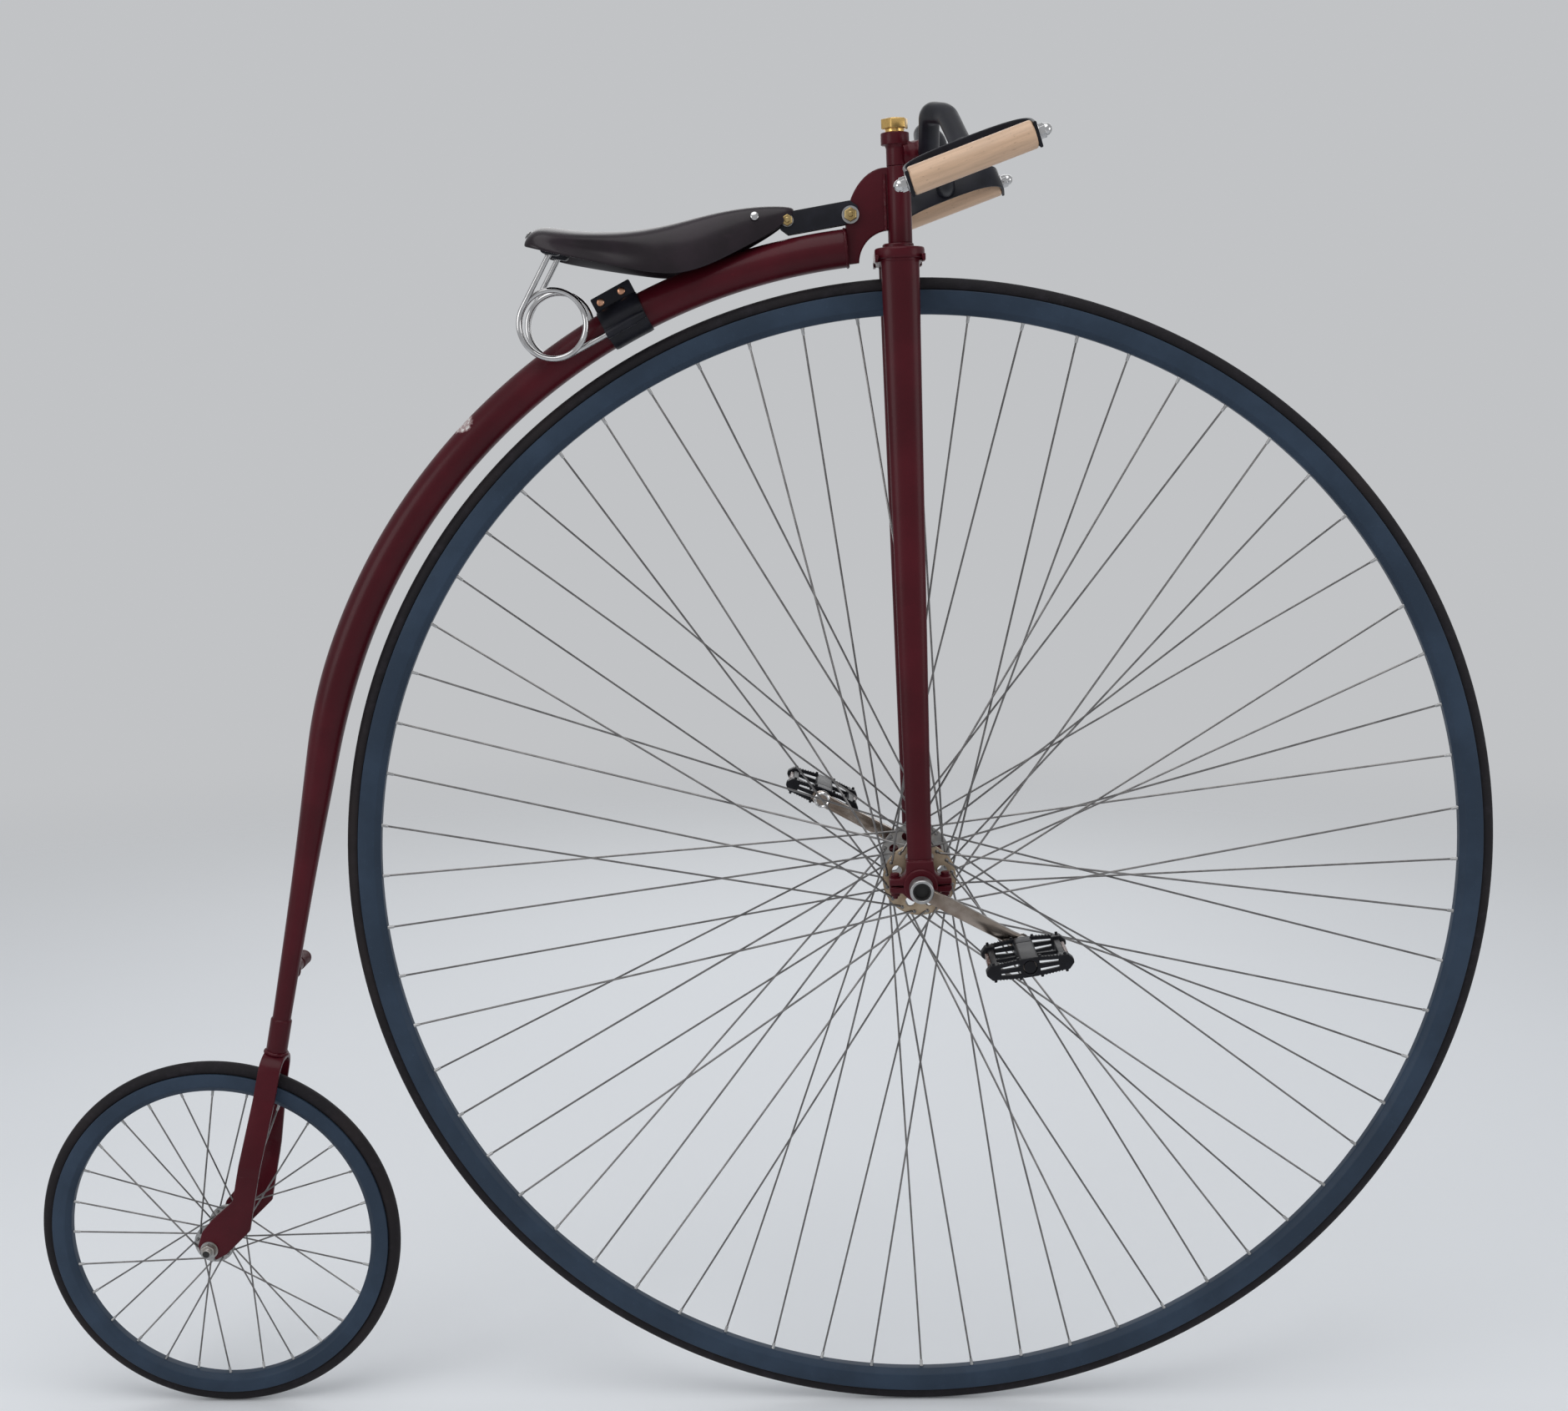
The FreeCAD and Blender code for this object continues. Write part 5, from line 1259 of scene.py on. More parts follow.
class FARTHING_OT_grips(bpy.types.Operator):
    """Builds the wooden grips with their straps, rods and domed nuts"""

    bl_idname = "farthing.grips"
    bl_label = "Grips"

    def execute(self, context):
        radius = mm(chosen("frame").grip) / 2
        rear = GRIP_MIDDLE - GRIP_WAY * GRIP_HALF
        front = GRIP_MIDDLE + GRIP_WAY * GRIP_HALF
        long = 2 * GRIP_HALF - 0.3
        corners = [((0, 0.3), 0), ((radius, 0.3), 2.6), ((radius, long), 2.6), ((0, long), 0)]
        for name, side in SIDES.items():
            grip = Form().lathe(corners, rear, GRIP_WAY, 64, 6)
            if side < 0:
                mirrored(grip)
            grip.piece("grip_wood_" + name, "wood", "steering", ["grip_" + name])
        section = oblong((-BOW_WIDE / 2, -BOW_THICK / 2), (BOW_WIDE / 2, BOW_THICK / 2), 1.2, 3)
        arc = [math.radians(turn) for turn in range(10, 91, 10)]
        dome = [(0, 0), (NUT_REACH, 0), (NUT_REACH, 1.0)]
        dome += [(NUT_REACH * math.cos(turn), 1.0 + 6.4 * math.sin(turn)) for turn in arc]
        for name, side in SIDES.items():
            strap, rod = Form(), Form()
            strap.sweep(bow_line(), lambda i: section, BOW_OVER)
            for point, way in ((rear, -GRIP_WAY), (front, GRIP_WAY)):
                seat = point + way * BOW_THICK
                rod.disc(9.0, seat, way, 0.8, 40)
                rod.hexagon(7.4, seat + way * 0.7, way, 6.4, 0.7)
                rod.turn(dome, seat + way * 6.8, way, 40)
            if side < 0:
                mirrored(strap), mirrored(rod)
            strap.piece("grip_strap_" + name, "black_steel", "steering", ["grip_bows"] if side > 0 else ())
            rod.piece("grip_nuts_" + name, "chrome", "steering", ["grip_rods"] if side > 0 else ())
        return {"FINISHED"}


# ---------------------------------------------------------------- backbone and neck
REAR_CROWN = REAR_AXLE + polar(REAR_RADIUS + 19.5, 90.0 - 19.5)
CROWN_TURN = math.degrees(math.atan2(REAR_CROWN.z, REAR_CROWN.x)) % 360
# The tail leaves the backbone's arc at this angle, straight for the rear fork's crown.
LEAVE_ANGLE = CROWN_TURN - math.degrees(math.acos(CROWN_LEVEL / REAR_CROWN.length))
LEAVE = polar(CROWN_LEVEL, LEAVE_ANGLE)
TAIL_WAY = (REAR_CROWN - LEAVE).normalized()
TAIL_LENGTH = (REAR_CROWN - LEAVE).length
BACKBONE_START = 78.0  # rearward of the axle
START_ANGLE = 90 + math.degrees(math.asin(BACKBONE_START / CROWN_LEVEL))
WEB_HALF = 5.0
TAPER_LEAD = 60.0  # of the arc, over which the taper has begun before the tail
TAPER = [(0.0, 0.0), (0.138, 0.2), (0.25, 0.36), (0.39, 0.6), (0.57, 0.78), (0.78, 0.9), (1.0, 1.0)]
EASE = 6  # rings to each side that a ring's width is averaged over


def backbone_width(travelled):
    """Diameter at a distance past the point where the tail leaves the arc, negative before it."""
    sizes = chosen("frame")
    wide, narrow = mm(sizes.backbone), mm(sizes.tail)
    share = (travelled + TAPER_LEAD) / (TAIL_LENGTH + TAPER_LEAD)
    return wide - (wide - narrow) * along_points(TAPER, max(0.0, min(1.0, share)))


class FARTHING_OT_backbone(bpy.types.Operator):
    """Builds the curved and tapered backbone"""

    bl_idname = "farthing.backbone"
    bl_label = "Backbone"

    def execute(self, context):
        line, widths = [], []
        for angle in spread(110, START_ANGLE, LEAVE_ANGLE):
            line.append(polar(CROWN_LEVEL, angle))
            widths.append(backbone_width(math.radians(angle - LEAVE_ANGLE) * CROWN_LEVEL))
        for step in spread(48, 0.0, TAIL_LENGTH)[1:]:
            line.append(LEAVE + TAIL_WAY * step)
            widths.append(backbone_width(step))
        smooth = list(widths)
        for i in range(EASE, len(widths) - EASE):
            smooth[i] = sum(widths[i - EASE:i + EASE + 1]) / (2 * EASE + 1)
        form = Form().tube(line, lambda i: smooth[i] / 2, 56)
        form.piece("backbone_tube", "paint_maroon", "frame", ["backbone"], finish="chipped")
        return {"FINISHED"}


class FARTHING_OT_neck(bpy.types.Operator):
    """Builds the neck tube, its web and the welds on the backbone"""

    bl_idname = "farthing.neck"
    bl_label = "Neck"

    def execute(self, context):
        corners = [((0, NECK_LOW), 0), ((13.2, NECK_LOW), 0.8), ((13.2, NECK_HIGH), 0.8), ((0, NECK_HIGH), 0)]
        tube = Form().lathe(corners, (TUBE_AHEAD, 0, 0), UP, 64).changed(LEAN)
        tube.piece("neck_tube", "paint_maroon", "frame", ["neck"])
        top = circle(1.0, steps=14, start=90, turn=90)
        back = [Vector((-34.0 + 44.6 * p.x, 711.6 + 64.0 * p.y)) for p in top]
        hollow = circle(1.0, steps=14, start=180, turn=-90)
        throat = [Vector((-29.6 + 34.0 * p.x, 676.0 + 34.0 * p.y)) for p in hollow]
        web = [Vector((-20.0, 775.6))] + back + [Vector((-79.5, 674.0))] + throat + [Vector((-20.0, 710.0))]
        Form().plate([web], -WEB_HALF, WEB_HALF, 1.6).piece("neck_web", "paint_maroon", "frame")
        seat, way = polar(CROWN_LEVEL, START_ANGLE), polar(1.0, START_ANGLE + 90)
        ring = Form().bead(20.0, 1.6, seat, way, 10, 96, 1.0625)
        ring.lumpy(0.5, 3.0).piece("backbone_weld", "paint_maroon", "frame")
        seams = Form()
        for side in (1, -1):
            levels = spread(40, NECK_LOW + 14.0, NECK_HIGH - 8.0)
            seams.tube([leaned(-12.8, level, side * WEB_HALF) for level in levels], 2.0, 10)
        seams.lumpy(0.6, 3.0).piece("neck_welds", "paint_maroon", "frame")
        return {"FINISHED"}


# ---------------------------------------------------------------- rear fork and step
BLADE_IN, BLADE_OUT = 47.0, 53.0
TAIL_SIDE = Vector((-TAIL_WAY.z, 0, TAIL_WAY.x))  # forward of the tail
STRAP_TOP = REAR_CROWN - TAIL_WAY * 4.4
STRAP_HALF = 12.7
STRAP_THICK = 5.8
BLADE_START = 140.0  # down the tail from the strap's top


class FARTHING_OT_rear_fork(bpy.types.Operator):
    """Builds the rear fork with its socket, axle and nuts"""

    bl_idname = "farthing.rear_fork"
    bl_label = "Rear fork"

    def execute(self, context):
        corners = [((0, 0), 0), ((12.3, 0), 0.8), ((12.3, 43.5), 1.6), ((10.9, 45.5), 0.8), ((0, 45.5), 0)]
        form = Form().lathe(corners, STRAP_TOP + TAIL_WAY * 2.0, -TAIL_WAY, 56)
        form.piece("rear_socket", "paint_maroon", "frame")
        self.strap()
        self.blades()
        self.axle()
        return {"FINISHED"}

    def strap(self):
        """Strap bent narrowly over the wheel, its two legs spreading to the blades' width."""
        wide = (BLADE_IN + BLADE_OUT) / 2
        corners = [
            ((0.0, -3.0), 0), ((23.0, -3.0), 19.0), ((27.0, -52.0), 40.0), ((wide - 0.8, -128.0), 30.0),
            ((wide, -6.0 - BLADE_START), 0),
        ]
        half = rounded(corners, closed=False, steps=10)
        half = [half[0] + (half[1] - half[0]) * share for share in spread(5)[:-1]] + half[1:]
        flat = [Vector((-p.x, p.y)) for p in reversed(half[1:])] + half
        line = [STRAP_TOP + Vector((0, p.x, 0)) - TAIL_WAY * p.y for p in flat]
        strip = oblong((-STRAP_HALF, -STRAP_THICK / 2), (STRAP_HALF, STRAP_THICK / 2), 1.3, 3)
        form = Form().sweep(line, lambda i: strip, TAIL_SIDE)
        form.piece("rear_crown_strap", "paint_maroon", "frame", ["rear_fork_crown"])
        collar = Form().bead(12.2, 2.6, STRAP_TOP - TAIL_WAY * 0.6, TAIL_WAY, 10, 72)
        collar.lumpy(1.0, 4.0).piece("rear_socket_weld", "paint_maroon", "frame")

    def blades(self):
        """Flat blades from the strap's legs to the axle, each with a hooked slot for it."""
        top = STRAP_TOP + TAIL_WAY * BLADE_START
        front_top = top + TAIL_SIDE * STRAP_HALF
        rear_top = top - TAIL_SIDE * STRAP_HALF
        x, z = REAR_AXLE.x, REAR_AXLE.z
        elbow = front_top + TAIL_WAY * ((front_top.z - z - 22.5) / -TAIL_WAY.z)
        knee = rear_top + TAIL_WAY * ((rear_top.z - z - 60.0) / -TAIL_WAY.z)
        outline = rounded([
            ((front_top.x, front_top.z), 0), ((elbow.x, elbow.z), 4.0), ((x + 20.0, z - 6.0), 8.0),
            ((x + 8.0, z - 12.5), 3.0), ((x + 5.2, z - 12.5), 1.0), ((x + 5.2, z), 0),
            ((x - 5.2, z), 0), ((x - 5.2, z - 11.0), 1.0), ((x - 10.0, z - 8.5), 2.5),
            ((x - 13.5, z + 5.0), 5.0), ((x - 7.5, z + 22.0), 10.0), ((x + 5.0, z + 37.0), 12.0),
            ((knee.x, knee.z), 14.0), ((rear_top.x, rear_top.z), 0),
        ])
        for name, side in SIDES.items():
            form = Form().plate([outline], side * BLADE_IN, side * BLADE_OUT, 1.3)
            form.piece("rear_blade_plate_" + name, "paint_maroon", "frame", ["rear_blade_" + name])

    def axle(self):
        form, shaded_ends = Form(), Form()
        inner = reach("rear_hub")[1].y + 0.4
        end = reach("rear_axle")[1].y
        form.shaft(5.0, REAR_AXLE - Vector((0, end, 0)), REAR_AXLE + Vector((0, end, 0)), 0.8, 32)
        for side in (1, -1):
            way = Vector((0, side, 0))
            washer = [(4.8, 0), (10.4, 0), (10.4, 1.4), (4.8, 1.4)]
            form.turn(washer, REAR_AXLE + way * (BLADE_OUT + 0.05), way, 40)
            form.hexagon(8.9, REAR_AXLE + way * (BLADE_OUT + 1.5), way, 7.6, 0.8)
            spacer = [(4.8, 0), (8.0, 0), (8.0, 7.0), (6.6, BLADE_IN - inner), (4.8, BLADE_IN - inner)]
            form.turn(spacer, REAR_AXLE + way * inner, way, 40)
            for k in range(5):
                thread = REAR_AXLE + way * (end - 1.6 - 0.9 * k)
                form.turn([(5.0, 0), (5.25, 0.45), (5.0, 0.9)], thread, -way, 24, closed=False)
            # near-black discs on the axle's ends: painted shade
            shaded_ends.disc(4.1, REAR_AXLE + way * end, way, 0.3, 24)
        form.piece("rear_axle_nuts", "zinc_steel", "frame", ["rear_axle"])
        shaded_ends.piece("rear_axle_tips", "zinc_steel", "frame", finish="recess")


class FARTHING_OT_step(bpy.types.Operator):
    """Builds the mounting step on the left of the tail"""

    bl_idname = "farthing.step"
    bl_label = "Mounting step"

    def execute(self, context):
        low, high = reach("mounting_step")
        centre = Vector(((low.x + high.x) / 2, 0, (low.z + high.z) / 2))
        radius = (high.z - low.z) / 2
        form = Form()
        grooved = high.y - 30.0
        profile = [(0, 6.0), (radius - 1.2, 6.0), (radius - 1.2, grooved)]
        for k in range(10):
            y = grooved + 2.6 * k
            profile += [(radius - 0.2, y + 0.5), (radius - 0.2, y + 1.7), (radius - 1.0, y + 2.3)]
        profile += [(radius, high.y - 3.5), (radius, high.y - 1.2), (radius - 1.2, high.y), (0, high.y)]
        form.turn(profile, centre, (0, 1, 0), 40)
        form.piece("mounting_step_peg", "paint_maroon", "frame", ["mounting_step"])
        bead = Form().bead(radius + 0.6, 1.7, centre + Vector((0, 12.2, 0)), (0, 1, 0), 9, 48)
        bead.lumpy(0.7, 2.6).piece("mounting_step_weld", "paint_maroon", "frame")
        return {"FINISHED"}


# ---------------------------------------------------------------- saddle
# Sections of the leather from nose to cantle: distance rearward of the axle, the crest's level, the
# shoulder's half width and level, the skirt's half width, and the lower edge's half width and level.
SADDLE_ROWS = (
    (133.7, 734.5, 6.0, 732.5, 7.0, 8.0, 729.5),
    (142.0, 736.8, 12.0, 733.0, 14.0, 14.5, 719.0),
    (162.0, 737.6, 16.0, 732.0, 18.5, 19.5, 705.5),
    (190.0, 736.0, 19.0, 729.0, 23.5, 25.0, 691.0),
    (222.0, 730.8, 23.0, 723.0, 31.0, 33.0, 674.5),
    (254.0, 722.8, 29.0, 714.5, 40.0, 43.0, 664.0),
    (282.0, 716.6, 40.0, 708.0, 49.0, 52.0, 664.5),
    (312.0, 712.2, 54.0, 703.5, 54.0, 62.0, 670.5),
    (343.0, 711.4, 70.0, 702.0, 62.0, 77.0, 676.5),
    (372.0, 713.0, 82.0, 703.0, 77.0, 91.0, 682.5),
    (393.0, 716.4, 86.0, 707.5, 92.0, 97.0, 686.5),
    (406.0, 716.8, 82.0, 709.0, 91.0, 94.0, 689.0),
    (415.0, 711.0, 77.0, 704.5, 86.0, 88.0, 691.0),
    (419.0, 699.5, 73.0, 696.5, 81.0, 82.5, 692.0),
)


class FARTHING_OT_saddle(bpy.types.Operator):
    """Builds the leather top of the saddle with its rivets"""

    bl_idname = "farthing.saddle"
    bl_label = "Saddle"

    def execute(self, context):
        form = Form()
        rows = []
        for back, crest, shoulder, level, skirt, edge, foot in SADDLE_ROWS:
            skirt_high, crest_high = level - foot, crest - level
            half = [
                (edge, foot), (skirt, foot + skirt_high * 0.42),
                ((shoulder + skirt) / 2, foot + skirt_high * 0.8),
                (shoulder * 0.86, level + crest_high * 0.35), (shoulder * 0.48, crest - crest_high * 0.12),
            ]
            points = [Vector((-back, y, z)) for y, z in half] + [Vector((-back, 0, crest))]
            points += [Vector((-back, -y, z)) for y, z in reversed(half)]
            rows.append(points)
        form.skin(rows, round_columns=False)
        leather_piece = form.piece("saddle_top", "saddle_leather", "frame", ["saddle_leather"], sharp=180)
        thick = leather_piece.modifiers.new("thickness", "SOLIDIFY")
        thick.thickness = chosen("saddle").leather
        thick.offset = -1.0
        round_off = leather_piece.modifiers.new("rounding", "SUBSURF")
        round_off.levels = round_off.render_levels = 3
        rivets = Form()
        for side in (1, -1):
            rivets.dome(4.6, (-176.5, side * 20.6, 725.4), (0.1, side, 0.18), 1.5)
        for y in (-62, -38, -13, 13, 38, 62):
            rivets.dome(5.0, (-416.0, y, 709.0 - abs(y) * 0.06), (-0.75, 0, 0.66), 1.6)
        rivets.piece("saddle_rivets", "chrome", "frame")
        self.cantle()
        self.nose()
        return {"FINISHED"}

    def cantle(self):
        """Plate under the leather's rear, with a block and a bolt for each spring's leg."""
        low, high = reach("saddle_cantle")
        plate, bolts = Form(), Form()
        plate.plate([oblong((low.x, low.y), (high.x - 6, high.y), 12)], high.z - 2.6, high.z - 0.1, 0.8, FLAT)
        for side in (1, -1):
            head = spring_line(side)[0]
            block = rounded([
                ((head.x - 9, high.z - 1.0), 0.8), ((head.x - 9, high.z - 13.0), 4),
                ((head.x + 11, high.z - 17.0), 5), ((head.x + 15, high.z - 1.0), 0.8),
            ])
            plate.plate([block], head.y - 6.6, head.y + 6.6, 1.2)
            bolts.nut(4.4, (head.x + 3.0, head.y + side * 6.6, high.z - 9.0), (0, side, 0), 3.4)
        plate.piece("saddle_cantle_plate", "black_steel", "frame", ["saddle_cantle"])
        bolts.piece("saddle_cantle_bolts", "chrome", "frame")

    def nose(self):
        form = Form()
        low, high = reach("saddle_nose")
        outline = rounded([
            ((low.x, high.z - 3.0), 1.0), ((low.x, high.z - 6.0), 1.0), ((high.x - 22.0, low.z + 6.0), 3.0),
            ((high.x - 9.0, low.z), 8.0), ((high.x, low.z + 9.0), 8.0), ((high.x - 4.0, high.z - 0.4), 4.0),
        ])
        form.plate([outline], low.y, high.y, 0.8)
        form.piece("saddle_nose_iron", "black_steel", "frame", ["saddle_nose"])


# ---------------------------------------------------------------- springs and clamp
CLAMP_ANGLE = 117.4
CLAMP_HALF = 24.0
CLAMP_OUT = polar(1.0, CLAMP_ANGLE)
CLAMP_WAY = polar(1.0, CLAMP_ANGLE - 90)
CLAMP_BORE = 20.5
CLAMP_SHEET = 2.5
GROOVE = CLAMP_OUT * (CROWN_LEVEL - 5.0)
LEG_TOP = Vector((-401.0, 0, 681.6))
LEG_BURIED = 7.0  # of the leg, inside the cantle's block
COIL_BACK = 46.0  # from the clamp's rear to the coil's middle
COIL_STEPS = 120
COIL_GAP = 0.9  # between one turn and the next


def spring_line(side):
    """Wire of one spring: leg, two turns and a half, and the tail in the clamp."""
    sizes = chosen("saddle")
    wire, coil = mm(sizes.wire) / 2, mm(sizes.coil)
    centre = GROOVE - CLAMP_WAY * (CLAMP_HALF + COIL_BACK) + CLAMP_OUT * coil
    away = LEG_TOP - centre
    first = math.degrees(math.atan2(away.z, away.x)) + math.degrees(math.acos(coil / away.length))
    last = CLAMP_ANGLE - 180 + 720
    inner = CLAMP_BORE + CLAMP_SHEET + wire + 1.0
    pitch = (last - first) / 360 * (2 * wire + COIL_GAP)
    leg = math.sqrt(away.length ** 2 - coil ** 2) + LEG_BURIED
    line = [centre + polar(coil, first) - polar(leg, first + 90)]
    line[0].y = inner + pitch
    for share in spread(COIL_STEPS + 1):
        aside = Vector((0, inner + pitch * (1 - share), 0))
        line.append(centre + polar(coil, first + (last - first) * share) + aside)
    line.append(line[-1] + CLAMP_WAY * (COIL_BACK + CLAMP_HALF * 1.4))
    return [Vector((p.x, p.y * side, p.z)) for p in line]


class FARTHING_OT_springs(bpy.types.Operator):
    """Builds the two coiled springs and the clamp that holds them to the backbone"""

    bl_idname = "farthing.springs"
    bl_label = "Springs"

    def execute(self, context):
        wire = mm(chosen("saddle").wire) / 2
        for name, side in SIDES.items():
            form = Form().tube(spring_line(side), wire, 20, side=(0, 1, 0))
            form.piece("spring_wire_" + name, "chrome", "frame", ["spring_" + name])
        self.clamp(wire)
        return {"FINISHED"}

    def clamp(self, wire):
        """Sheet wrapped round the backbone, riveted over it, with a rolled groove for each wire."""
        form = Form()
        half = math.degrees(CLAMP_HALF / CROWN_LEVEL)
        line = [polar(CROWN_LEVEL, a) for a in spread(14, CLAMP_ANGLE - half, CLAMP_ANGLE + half)]
        ends = (0, len(line) - 1)
        form.tube(line, lambda i: CLAMP_BORE + CLAMP_SHEET - (0.7 if i in ends else 0.0), 72)
        base = CLAMP_OUT * (CROWN_LEVEL + CLAMP_BORE - 1.0)
        lay = Matrix((CLAMP_WAY, CLAMP_OUT, Vector((0, 1, 0)))).transposed().to_4x4()
        lay.translation = base
        rise = 18.2
        ear = rounded(doubled([((CLAMP_HALF, 0), 0), ((CLAMP_HALF, rise), 1.6)], across=-1))
        form.plate([ear], 0.15, 2.6, 0.5, lay)
        form.plate([ear], -2.6, -0.15, 0.5, lay)
        lay_web = lay.copy()
        lay_web.translation = GROOVE
        web = oblong((0.5 - CLAMP_HALF, -3.4), (CLAMP_HALF - 3.0, 3.4), 0)
        tail = spring_line(1)[-2]
        groove = [
            (wire + 0.15, 0), (wire + 2.2, 0.0), (wire + 2.5, 0.5), (wire + 2.5, 34.0), (wire + 1.2, 47.5),
            (wire + 0.15, 47.5),
        ]
        for side in (1, -1):
            start = GROOVE - CLAMP_WAY * CLAMP_HALF
            form.turn(groove, (start.x, side * tail.y, start.z), CLAMP_WAY, 32)
            form.plate([web], side * (CLAMP_BORE - 1.0), side * (tail.y - 1.0), 0.3, lay_web)
        form.piece("spring_clamp_strap", "black_steel", "frame", ["spring_clamp"])
        rivets = Form()
        for share in (-0.54, 0.54):
            for side in (1, -1):
                spot = base + CLAMP_OUT * 10.4 + CLAMP_WAY * (CLAMP_HALF * share - 2.0)
                rivets.dome(4.4, Vector((spot.x, side * 2.5, spot.z)), (0, side, 0), 1.5)
        rivets.piece("clamp_rivets", "black_steel", "frame", finish="copper")


NOSE_BOLT = Vector((-141.5, 0, 721.4))
NECK_BOLT = Vector((-73.0, 0, 726.4))
LINK_SLOPE = 9.3
LINK_FACE = WEB_HALF + 3.0  # from the centre plane


class FARTHING_OT_links(bpy.types.Operator):
    """Builds the two links from the saddle's nose to the neck, and their bolts"""

    bl_idname = "farthing.links"
    bl_label = "Saddle links"

    def execute(self, context):
        half, ahead, corner = 12.0, (NECK_BOLT - NOSE_BOLT).length / 2 + 9.0, 7.5
        lower = doubled([((-ahead, corner - half), 1.5), ((corner - ahead, -half), 1.5)], across=-1)
        outline = rounded(doubled(lower, over=-1), steps=3)
        lay = at_angle((NOSE_BOLT + NECK_BOLT) / 2, LINK_SLOPE)
        bolts, washers = Form(), Form()
        for name, side in SIDES.items():
            form = Form().plate([outline], side * WEB_HALF, side * LINK_FACE, 0.7, lay)
            form.piece("saddle_link_bar_" + name, "black_steel", "frame", ["saddle_link_" + name])
            out = Vector((0, side, 0))
            for end, size, washer in ((NECK_BOLT, 7.6, 1.24), (NOSE_BOLT, 6.4, 1.04)):
                face = end + out * LINK_FACE
                washers.disc(size * washer, face, out, 1.2, 36)
                bolts.hexagon(size, face + out * 1.1, out, 5.0, 1.1)
                bolts.shaft(3.0, face + out * 5.6, face + out * 7.4, 0.8, 20)
        bolts.piece("link_bolt_heads", "yellow_zinc", "frame", ["link_bolts"])
        washers.piece("link_bolt_washers", "zinc_steel", "frame", finish="nipple")
        return {"FINISHED"}


# ---------------------------------------------------------------- studio
FLOOR_RADIUS = 9.0
FLOOR_FADE = (1.6, 5.2)  # distances between which the floor gives way to the backdrop
SKY = (0.93, 0.96, 1.0)
SKY_STRENGTH = 0.42
LIGHTS = (  # name, place in metres from what it aims at, diameter and power
    ("soft_above", (-0.3, -1.2, 3.2), 3.6, 52.0),
    ("soft_left", (-3.2, -2.6, 1.2), 2.2, 30.0),
    ("soft_right", (3.4, -1.6, 1.0), 2.0, 18.0),
    ("soft_behind", (0.2, 3.2, 1.8), 3.0, 26.0),
)
CAMERA_PLACE = (-98.0, -2343.0, 1175.0 - FRONT_RADIUS)
CAMERA_TURNS = ((1.12, "Z"), (-11.58, "X"), (0.68, "Y"))
CAMERA_SETTINGS = {
    "sensor_width": 36.0, "lens": 47.57, "shift_x": -0.0055, "shift_y": 0.0855, "clip_end": 100.0,
}


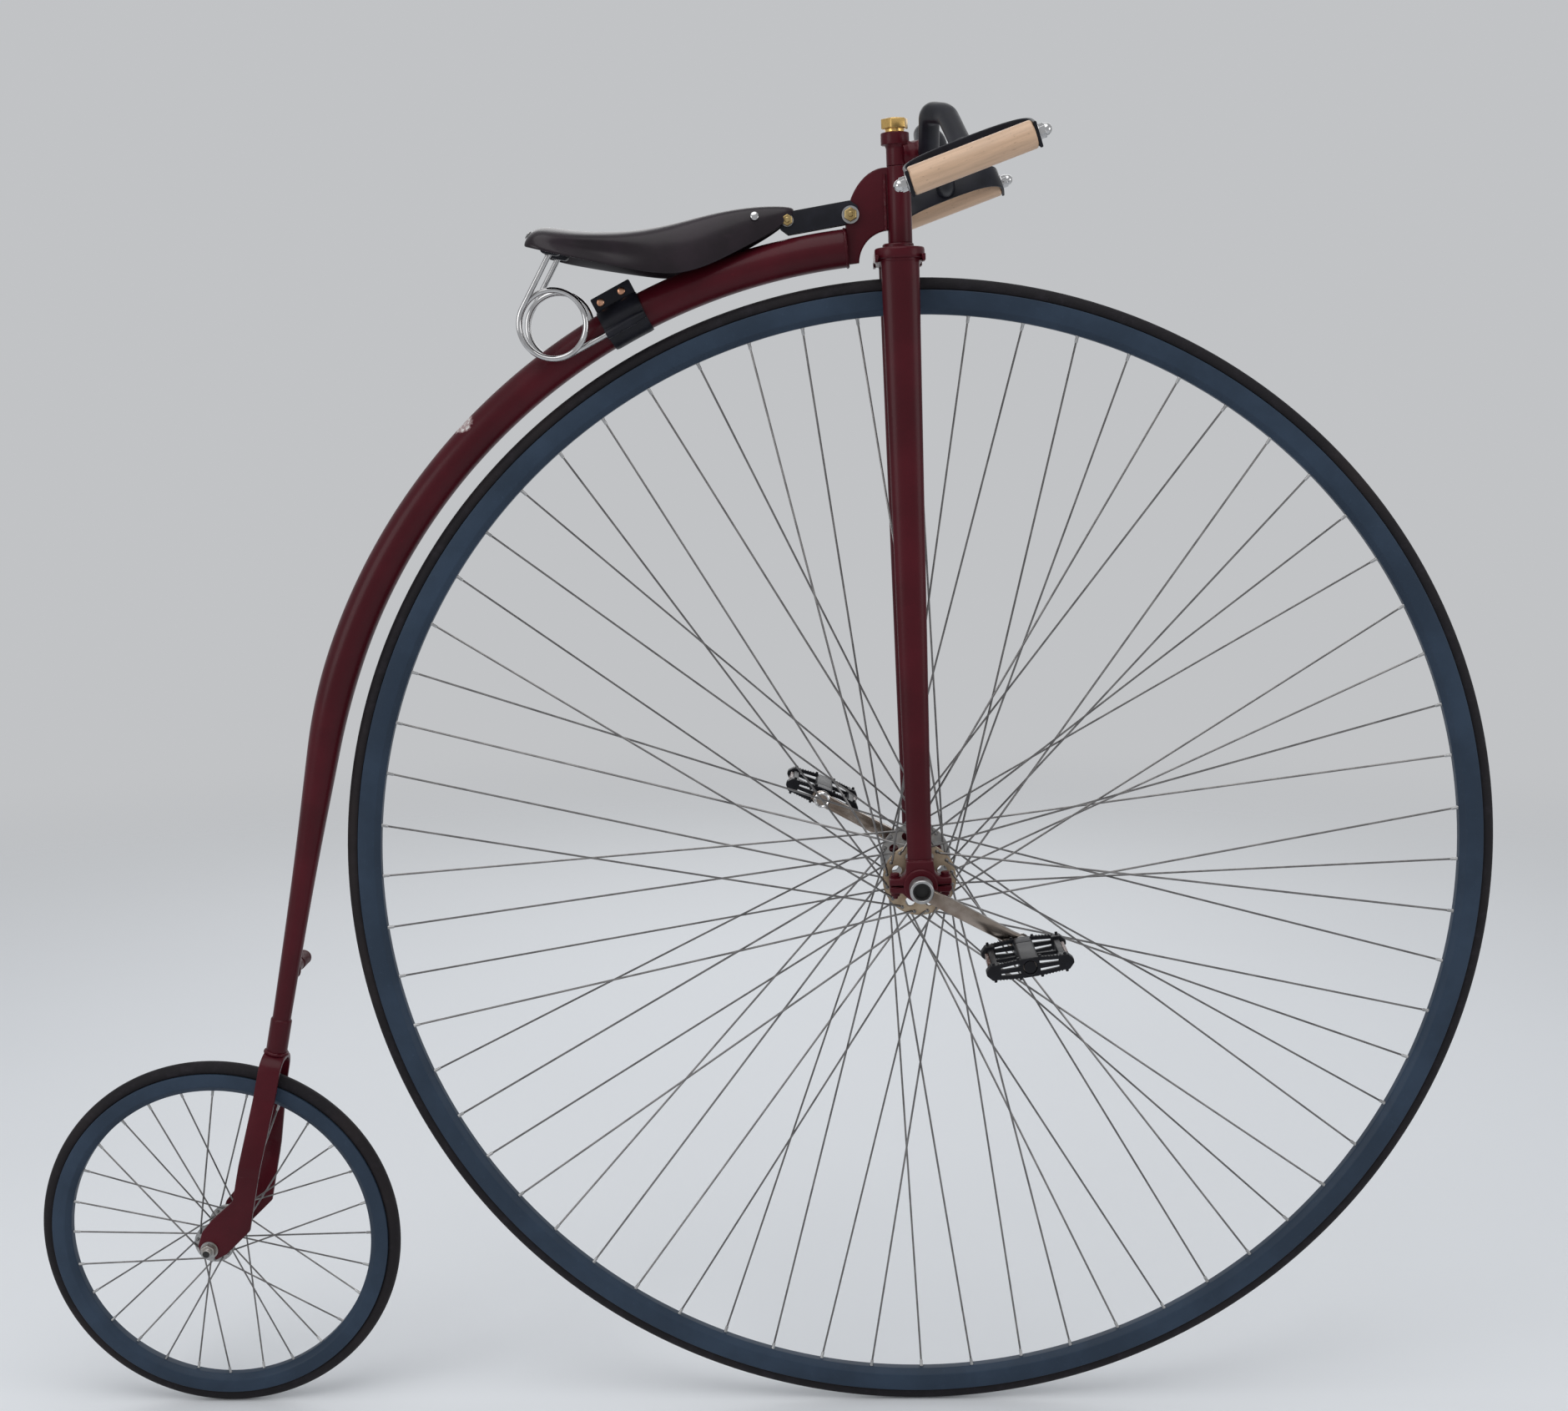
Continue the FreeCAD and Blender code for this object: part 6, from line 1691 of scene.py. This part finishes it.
class FARTHING_OT_stage(bpy.types.Operator):
    """Sets up the floor, the lights, the world and the camera"""

    bl_idname = "farthing.stage"
    bl_label = "Studio"

    def execute(self, context):
        self.floor()
        self.world()
        self.lights()
        self.camera()
        context.scene.view_settings.view_transform = "Standard"
        return {"FINISHED"}

    def floor(self):
        tone = chosen("colours").floor
        middle = IN_FRAME @ Vector((-200.0, 0, GROUND))
        data = bpy.data.meshes.new("studio_floor")
        mesh = bmesh.new()
        ring = circle(FLOOR_RADIUS, (middle.x, 0.0), 96)
        mesh.faces.new([mesh.verts.new((p.x, p.y, middle.z - 0.0005)) for p in ring])
        mesh.to_mesh(data)
        mesh.free()
        thing = bpy.data.objects.new("studio_floor", data)
        bpy.context.scene.collection.objects.link(thing)
        shade = Shade("studio floor", specular_ior_level=0.2)
        cloud = shade.noise(1.3, 3.0)
        shade.set(base_color=shade.mix(cloud, tinted(tone, 0.98), tinted(tone, 1.02)), roughness=0.85)
        fade = shade.away_from(middle).between(*FLOOR_FADE)
        glow = shade.node("ShaderNodeBsdfTransparent")
        solid = Wire(shade, shade.shader.outputs["BSDF"])
        joined = shade.node("ShaderNodeMixShader", None, {0: fade, 1: solid, 2: glow})
        shade.tree.links.new(joined.socket, shade.out.inputs["Surface"])
        data.materials.append(shade.material)

    def world(self):
        """Soft light all round, while the camera and anything shiny see the backdrop."""
        world = bpy.data.worlds.new("studio")
        bpy.context.scene.world = world
        world.use_nodes = True
        tree = world.node_tree
        tree.nodes.clear()
        out = tree.nodes.new("ShaderNodeOutputWorld")
        seen, felt = tree.nodes.new("ShaderNodeBackground"), tree.nodes.new("ShaderNodeBackground")
        for glow, tone, strength in ((seen, chosen("colours").backdrop, 1.0), (felt, SKY, SKY_STRENGTH)):
            glow.inputs["Color"].default_value = (*tone, 1.0)
            glow.inputs["Strength"].default_value = strength
        path = tree.nodes.new("ShaderNodeLightPath")
        either, both = tree.nodes.new("ShaderNodeMath"), tree.nodes.new("ShaderNodeMath")
        either.operation = both.operation = "MAXIMUM"
        mix = tree.nodes.new("ShaderNodeMixShader")
        for start, output, end, place in (
            (path, "Is Camera Ray", either, 0), (path, "Is Glossy Ray", either, 1), (either, 0, both, 0),
            (path, "Is Transmission Ray", both, 1), (both, 0, mix, 0), (felt, 0, mix, 1), (seen, 0, mix, 2),
            (mix, 0, out, 0),
        ):
            tree.links.new(start.outputs[output], end.inputs[place])

    def lights(self):
        aim = IN_FRAME @ Vector((-250.0, 0, -50.0))
        for name, place, size, power in LIGHTS:
            lamp = bpy.data.lights.new(name, "AREA")
            lamp.shape = "DISK"
            lamp.size = size
            lamp.energy = power
            thing = bpy.data.objects.new(name, lamp)
            thing.location = aim + Vector(place)
            thing.rotation_euler = (aim - thing.location).to_track_quat("-Z", "Y").to_euler()
            bpy.context.scene.collection.objects.link(thing)

    def camera(self):
        data = bpy.data.cameras.new("camera")
        thing = bpy.data.objects.new("camera", data)
        bpy.context.scene.collection.objects.link(thing)
        for setting, value in CAMERA_SETTINGS.items():
            setattr(data, setting, value)
        thing.location = IN_FRAME @ Vector(CAMERA_PLACE)
        yaw, pitch, roll = (Matrix.Rotation(math.radians(angle), 4, axis) for angle, axis in CAMERA_TURNS)
        thing.rotation_euler = (yaw @ pitch @ roll @ Matrix.Rotation(math.radians(90), 4, "X")).to_euler()
        bpy.context.scene.camera = thing


OPERATORS = (
    FARTHING_OT_front_wheel, FARTHING_OT_rear_wheel, FARTHING_OT_cranks, FARTHING_OT_pedals, FARTHING_OT_fork,
    FARTHING_OT_bearings, FARTHING_OT_head, FARTHING_OT_handlebar, FARTHING_OT_grips, FARTHING_OT_backbone,
    FARTHING_OT_neck, FARTHING_OT_rear_fork, FARTHING_OT_step, FARTHING_OT_saddle, FARTHING_OT_springs,
    FARTHING_OT_links, FARTHING_OT_stage,
)


class FARTHING_PT_panel(bpy.types.Panel):
    """Lists the sizes, the colours and the builders"""

    bl_idname = "FARTHING_PT_panel"
    bl_label = "Penny farthing"
    bl_space_type = "VIEW_3D"
    bl_region_type = "UI"
    bl_category = "Penny farthing"

    def draw(self, context):
        for name, group in SIZE_GROUPS.items():
            box = self.layout.box()
            box.label(text=name.title())
            for prop in group.__annotations__:
                box.prop(chosen(name), prop)
        for operator in OPERATORS:
            self.layout.operator(operator.bl_idname)


CLASSES = (*SIZE_GROUPS.values(), *OPERATORS, FARTHING_PT_panel)


def register():
    for each in CLASSES:
        bpy.utils.register_class(each)
    for name, group in SIZE_GROUPS.items():
        setattr(bpy.types.Scene, "farthing_" + name, bpy.props.PointerProperty(type=group))


def unregister():
    for name in SIZE_GROUPS:
        delattr(bpy.types.Scene, "farthing_" + name)
    for each in reversed(CLASSES):
        bpy.utils.unregister_class(each)


def main():
    register()
    for operator in OPERATORS:
        group, name = operator.bl_idname.split(".")
        getattr(getattr(bpy.ops, group), name)()
    bpy.context.view_layer.update()


if __name__ == "__main__":
    main()
